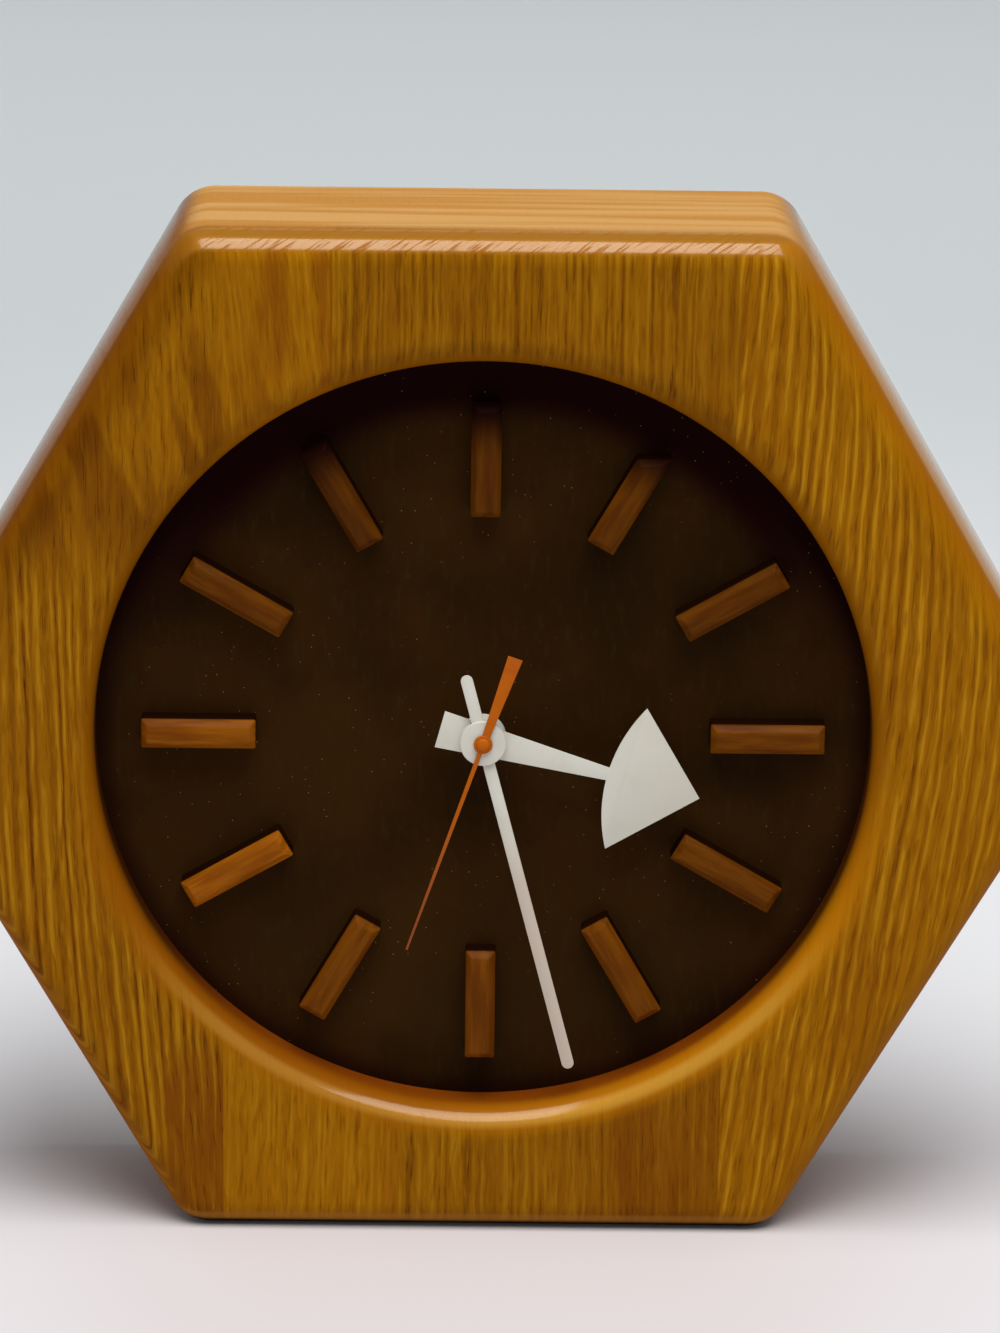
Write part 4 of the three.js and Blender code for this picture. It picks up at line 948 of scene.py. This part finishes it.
def makeBatterySkin(name, v):
    # a plain two-tone sleeve between bare metal ends, with the two pole signs: wide is the distance
    # from the nearer sign, and the one by the button has an upright as well
    skin = Finish(name, {"Coat Weight": 0.0})
    place = skin.place()
    x, y, z = skin.axes(skin.shift(place, tuple(-1000 * c for c in v["centre"])))
    wide = (x.maths("ABSOLUTE") - v["signs"]).maths("ABSOLUTE")
    at = {"x": x, "off": radiusOf(y, z), "high": z.maths("ABSOLUTE"), "wide": wide}
    part = skin.zones(at, sleeveZones)
    ends = ((part.flatEnd + part.buttonEnd).capped() + part.bare).capped()
    signs = (part.dash + part.upright * x.maths("GREATER_THAN", 0)).capped()
    printed = (part.line + signs).capped() * y.maths("GREATER_THAN", 0)
    scuff = skin.noise(place, (0.25, 1.4, 1.4), 4)
    skin.set("Base Color", skin.layered(
        v["dark"],
        (part.band, v["warm"]),
        (printed, v["pale"]),
        (skin.rise(scuff, 0.58, 0.75) * 0.4, v["pale"]),
        (ends, skin.mix(scuff, v["metal"], v["stain"])),
    ))
    skin.set("Metallic", (ends + part.band * 0.6).capped())
    skin.set("Roughness", 0.28 + scuff * 0.25)
    skin.bump(scuff, 0.08, 0.0001)
    return skin


def softened(node, width):  # a merged copy of a CAD node with its hard edges rounded
    solid = bmesh.new()
    solid.from_mesh(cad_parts[node].data)
    bmesh.ops.remove_doubles(solid, verts=solid.verts, dist=1e-6)
    bmesh.ops.dissolve_limit(solid, angle_limit=0.01, verts=solid.verts, edges=solid.edges)
    hard = [e for e in solid.edges if e.is_manifold and e.calc_face_angle(0) > 0.6]  # radians
    bmesh.ops.bevel(solid, geom=hard, offset=width, segments=2, profile=0.5, affect="EDGES")
    return meshOf(node, solid)


def arrowOutline(centre, radius, width, start, end, head):
    # an arc of even width from the start angle to the end angle, then a three-cornered head
    turn = np.linspace(start, end, 18)
    ray = np.stack((np.cos(turn), np.sin(turn)), 1)
    tip = end + math.copysign(head * 2 / radius, end - start)
    outline = [
        *(centre + (radius + width / 2) * ray), centre + (radius + head) * ray[-1],
        centre + radius * np.array((math.cos(tip), math.sin(tip))),
        centre + (radius - head) * ray[-1], *(centre + (radius - width / 2) * ray[::-1]),
    ]
    return [tuple(point) for point in outline]


def box(left, low, right, high):
    return [(left, low), (right, low), (right, high), (left, high)]


def addCover(v):  # raised signs: two turning arrows round the knob, the pole signs, rings and two ribs
    marks = [arrowOutline(v["knob"], v["arrowRadius"], v["line"], *span, v["head"]) for span in v["arrows"]]
    half, thin, z = v["sign"] / 2, v["line"] / 2, v["signZ"]
    marks += [box(x - half, z - thin, x + half, z + thin) for x in v["signs"]]
    plus = v["signs"][-1]
    marks.append(box(plus - thin, z + thin, plus + thin, z + half))
    marks.append(box(plus - thin, z - half, plus + thin, z - thin))
    marks += [box(*rib) for rib in v["ribs"]]
    top, bottom, bevel = v["back"] + v["rise"], v["back"] - v["sunk"], v["bevel"]
    meshes = [softened("movement_rear_cover", v["edge"])]
    meshes += [addBar("mark", mark, top, v["rise"] + v["sunk"], bevel, 0) for mark in marks]
    for outer, x, z in v["rings"]:
        inner = outer - v["line"]
        ring = [
            (outer, bottom), (outer, top - bevel), (outer - bevel, top), (inner + bevel, top),
            (inner, top - bevel), (inner, bottom), (outer, bottom),
        ]
        place = Matrix.Translation((x / 1000, 0, z / 1000)) @ handPlace(0)
        meshes.append(merged(lathe("ring", ring, place)))
    return joined("movement_rear_cover_moulded", meshes, 30, False)


def addBattery(v):  # cell turned about its long axis, its profile from the flat end to the button
    profile = [
        (0, -24.55), (4.6, -24.55), (4.9, -24.4), (6.2, -24.4), (6.5, -24.55), (6.85, -24.45), (7.08, -24.1),
        (7.08, 23.9), (6.9, 24.3), (6.5, 24.45), (5.9, 24.4), (5.6, 24.1), (2.9, 24.1), (2.65, 24.3),
        (2.65, 25.5), (2.3, 25.85), (0, 25.88),
    ]
    lying = Matrix.Translation(v["centre"]) @ Matrix.Rotation(-math.pi / 2, 4, "Z")
    return joined("battery_cell", [lathe("cell", profile, lying @ Matrix.Scale(0.001, 4), 72)], 32)


finishValues = {
    "blackPlastic": {
        "colour": srgb(28, 28, 30), "worn": srgb(48, 47, 46), "rubbed": srgb(112, 110, 106),
        "rough": 0.42, "grain": 0.35,
    },
    "whitePlastic": {
        "colour": srgb(222, 219, 207), "worn": srgb(204, 199, 182), "rough": 0.38, "grain": 0.12,
    },
    "epoxy": {"colour": srgb(17, 17, 18), "worn": srgb(30, 30, 32), "rough": 0.25, "grain": 0.1},
    "brass": {
        "colour": srgb(208, 170, 92), "stain": srgb(158, 116, 50), "rough": 0.24, "brush": (2.2, 0.2, 2.2),
    },
    "steel": {
        "colour": srgb(196, 196, 194), "stain": srgb(140, 136, 128), "rough": 0.26, "brush": (0.25, 2, 2),
    },
    "magnet": {
        "colour": srgb(104, 104, 108), "stain": srgb(64, 64, 68), "rough": 0.35, "brush": (1, 1, 1),
    },
    "winding": {"colour": srgb(198, 112, 56), "gap": srgb(92, 42, 18), "pitch": 0.32},
    "circuit": {"colour": srgb(22, 84, 44), "track": srgb(52, 128, 68), "solder": srgb(196, 192, 180)},
    "battery": {
        "dark": srgb(38, 42, 48), "warm": srgb(176, 104, 52), "pale": srgb(196, 194, 186),
        "metal": srgb(198, 198, 196), "stain": srgb(150, 148, 142),
        "centre": (0.00065, -0.0039, 0.12101), "signs": 17.5,
    },
}
coverValues = {
    "edge": 0.0004, "back": 5.7, "rise": 0.3, "sunk": 0.05, "bevel": 0.08, "line": 0.8,
    "knob": (19.056, 8.886), "arrowRadius": 8.2, "head": 1.3, "arrows": [(1.15, 2.35), (4.3, 5.35)],
    "signs": (-22, 22), "signZ": -8.4, "sign": 3.4,
    "ribs": [(-24.5, 24.6, 8, 25.4), (-24.5, 22.2, 8, 23.0)], "rings": [(5.0, 0, 0), (2.2, -15.2, 9.4)],
}
rearPieces = {  # node: rounding in metres, body, slot, finish
    "movement_front_case": (0.0005, "case", "black_plastic", "blackPlastic"),
    "setting_knob": (0.0002, "setting_group", "white_plastic", "whitePlastic"),
    "hanger_plate": (0.0003, "case", "steel", "steel"),
    "positive_contact": (0.00008, "case", "steel", "steel"),
    "negative_contact": (0.00008, "case", "steel", "steel"),
}
for kind, places in (("dial", (1, 2, 3, 4)), ("movement", ("left", "right")), ("hanger", ("left", "right"))):
    for screwPlace in places:
        rearPieces[f"{kind}_screw_{screwPlace}"] = (0.00015, "case", "steel", "steel")
carriedNodes = {  # CAD pieces that keep their shape
    "brass": ("centre_bush", "cannon_pinion"),
    "steel": ("coil_core", "quartz_crystal", "seconds_arbor", "stator"),
    "magnet": ("rotor_magnet",),
    "winding": ("coil_winding",),
    "circuit": ("circuit_board",),
    "epoxy": ("chip",),
    "whitePlastic": ("centre_wheel", "coil_bobbin", "hour_wheel", "intermediate_wheel", "minute_wheel",
                     "rotor_pinion", "seconds_wheel", "third_wheel"),
}


def addMovement(values):
    makers = {"brass": makeMetal, "steel": makeMetal, "magnet": makeMetal, "winding": makeWinding,
              "circuit": makeCircuit, "battery": makeBatterySkin}
    finishes = {name: makers.get(name, makePlastic)(name, v) for name, v in values.items()}
    for finish, nodes in carriedNodes.items():
        for node in nodes:
            dressNode(node, finishes[finish])
    for node, (width, body, slot, finish) in rearPieces.items():
        piece = addPiece(node + "_detailed", softened(node, width), 32, False)
        dress(piece, finishes[finish], body, slot, node)
    dress(addCover(coverValues), finishes["blackPlastic"], "case", "black_plastic", "movement_rear_cover")
    dress(addBattery(values["battery"]), finishes["battery"], "case", "battery_label", "battery")


addMovement(finishValues)
print("movement and fixings made")


# floor and light

stageValues = {
    "width": 9.0, "front": -4.0, "bend": 2.4, "bendRadius": 1.2, "top": 4.0,
    "under": srgb(213, 206, 206), "beside": srgb(219, 215, 217),
    "behind": srgb(226, 226, 228), "far": srgb(208, 213, 214),
}
lampValues = {
    "key": {"place": (0.13, -0.66, 2.1), "aim": middle, "size": (1.6, 1.6), "power": 54, "spread": 180},
    "far": {"place": (0, 1.75, 2.4), "aim": (0, 1.75, 0), "size": (4.0, 1.0), "power": 6, "spread": 60},
}
worldValues = {"colour": (0.95, 0.97, 1.0, 1), "strength": 0.3}


def addStage(v):
    # profile in y and z: level floor, quarter turn, wall; carried straight along x
    turn = np.linspace(0, math.pi / 2, 17)
    wall = v["bend"] + v["bendRadius"]
    y = np.concatenate(([v["front"]], v["bend"] + v["bendRadius"] * np.sin(turn), [wall]))
    z = np.concatenate(([0], v["bendRadius"] * (1 - np.cos(turn)), [v["top"]]))
    x = np.array([-1, 1]) * v["width"] / 2
    points = np.stack(np.broadcast_arrays(x[:, None], y, z), -1)
    floor = pieceFrom("floor", points, gridFaces(2, len(y)), 60)
    finish = Finish("floor_card", {"Roughness": 0.8, "Specular IOR Level": 0.2})
    x, y, _ = finish.axes(finish.place(1))
    # painted light: the card a little darker and pinker in front of the clock, paler beside and behind it;
    # far back it is greyer
    finish.set("Base Color", finish.layered(
        v["under"],
        (finish.rise(x.maths("ABSOLUTE"), 0.05, 0.16), v["beside"]),
        (finish.rise(y, -0.05, 0.2), v["behind"]),
        (finish.rise(y, 0.35, 1.05), v["far"]),
    ))
    floor.data.materials.append(finish.material)


def addLamp(name, v):
    lamp = bpy.data.lights.new(name, "AREA")
    lamp.shape = "RECTANGLE"
    lamp.size, lamp.size_y = v["size"]
    lamp.energy = v["power"]
    lamp.spread = math.radians(v["spread"])
    holder = bpy.data.objects.new(name, lamp)
    holder.location = v["place"]
    holder.rotation_euler = (Vector(v["aim"]) - holder.location).to_track_quat("-Z", "Y").to_euler()
    scene.collection.objects.link(holder)


def addWorld(v):
    world = bpy.data.worlds.new("studio")
    world.use_nodes = True
    background = world.node_tree.nodes["Background"]
    background.inputs["Color"].default_value = v["colour"]
    background.inputs["Strength"].default_value = v["strength"]
    scene.world = world


addStage(stageValues)
for lampName, lampValue in lampValues.items():
    addLamp(lampName, lampValue)
addWorld(worldValues)
print("floor and lights set")

bpy.context.view_layer.update()
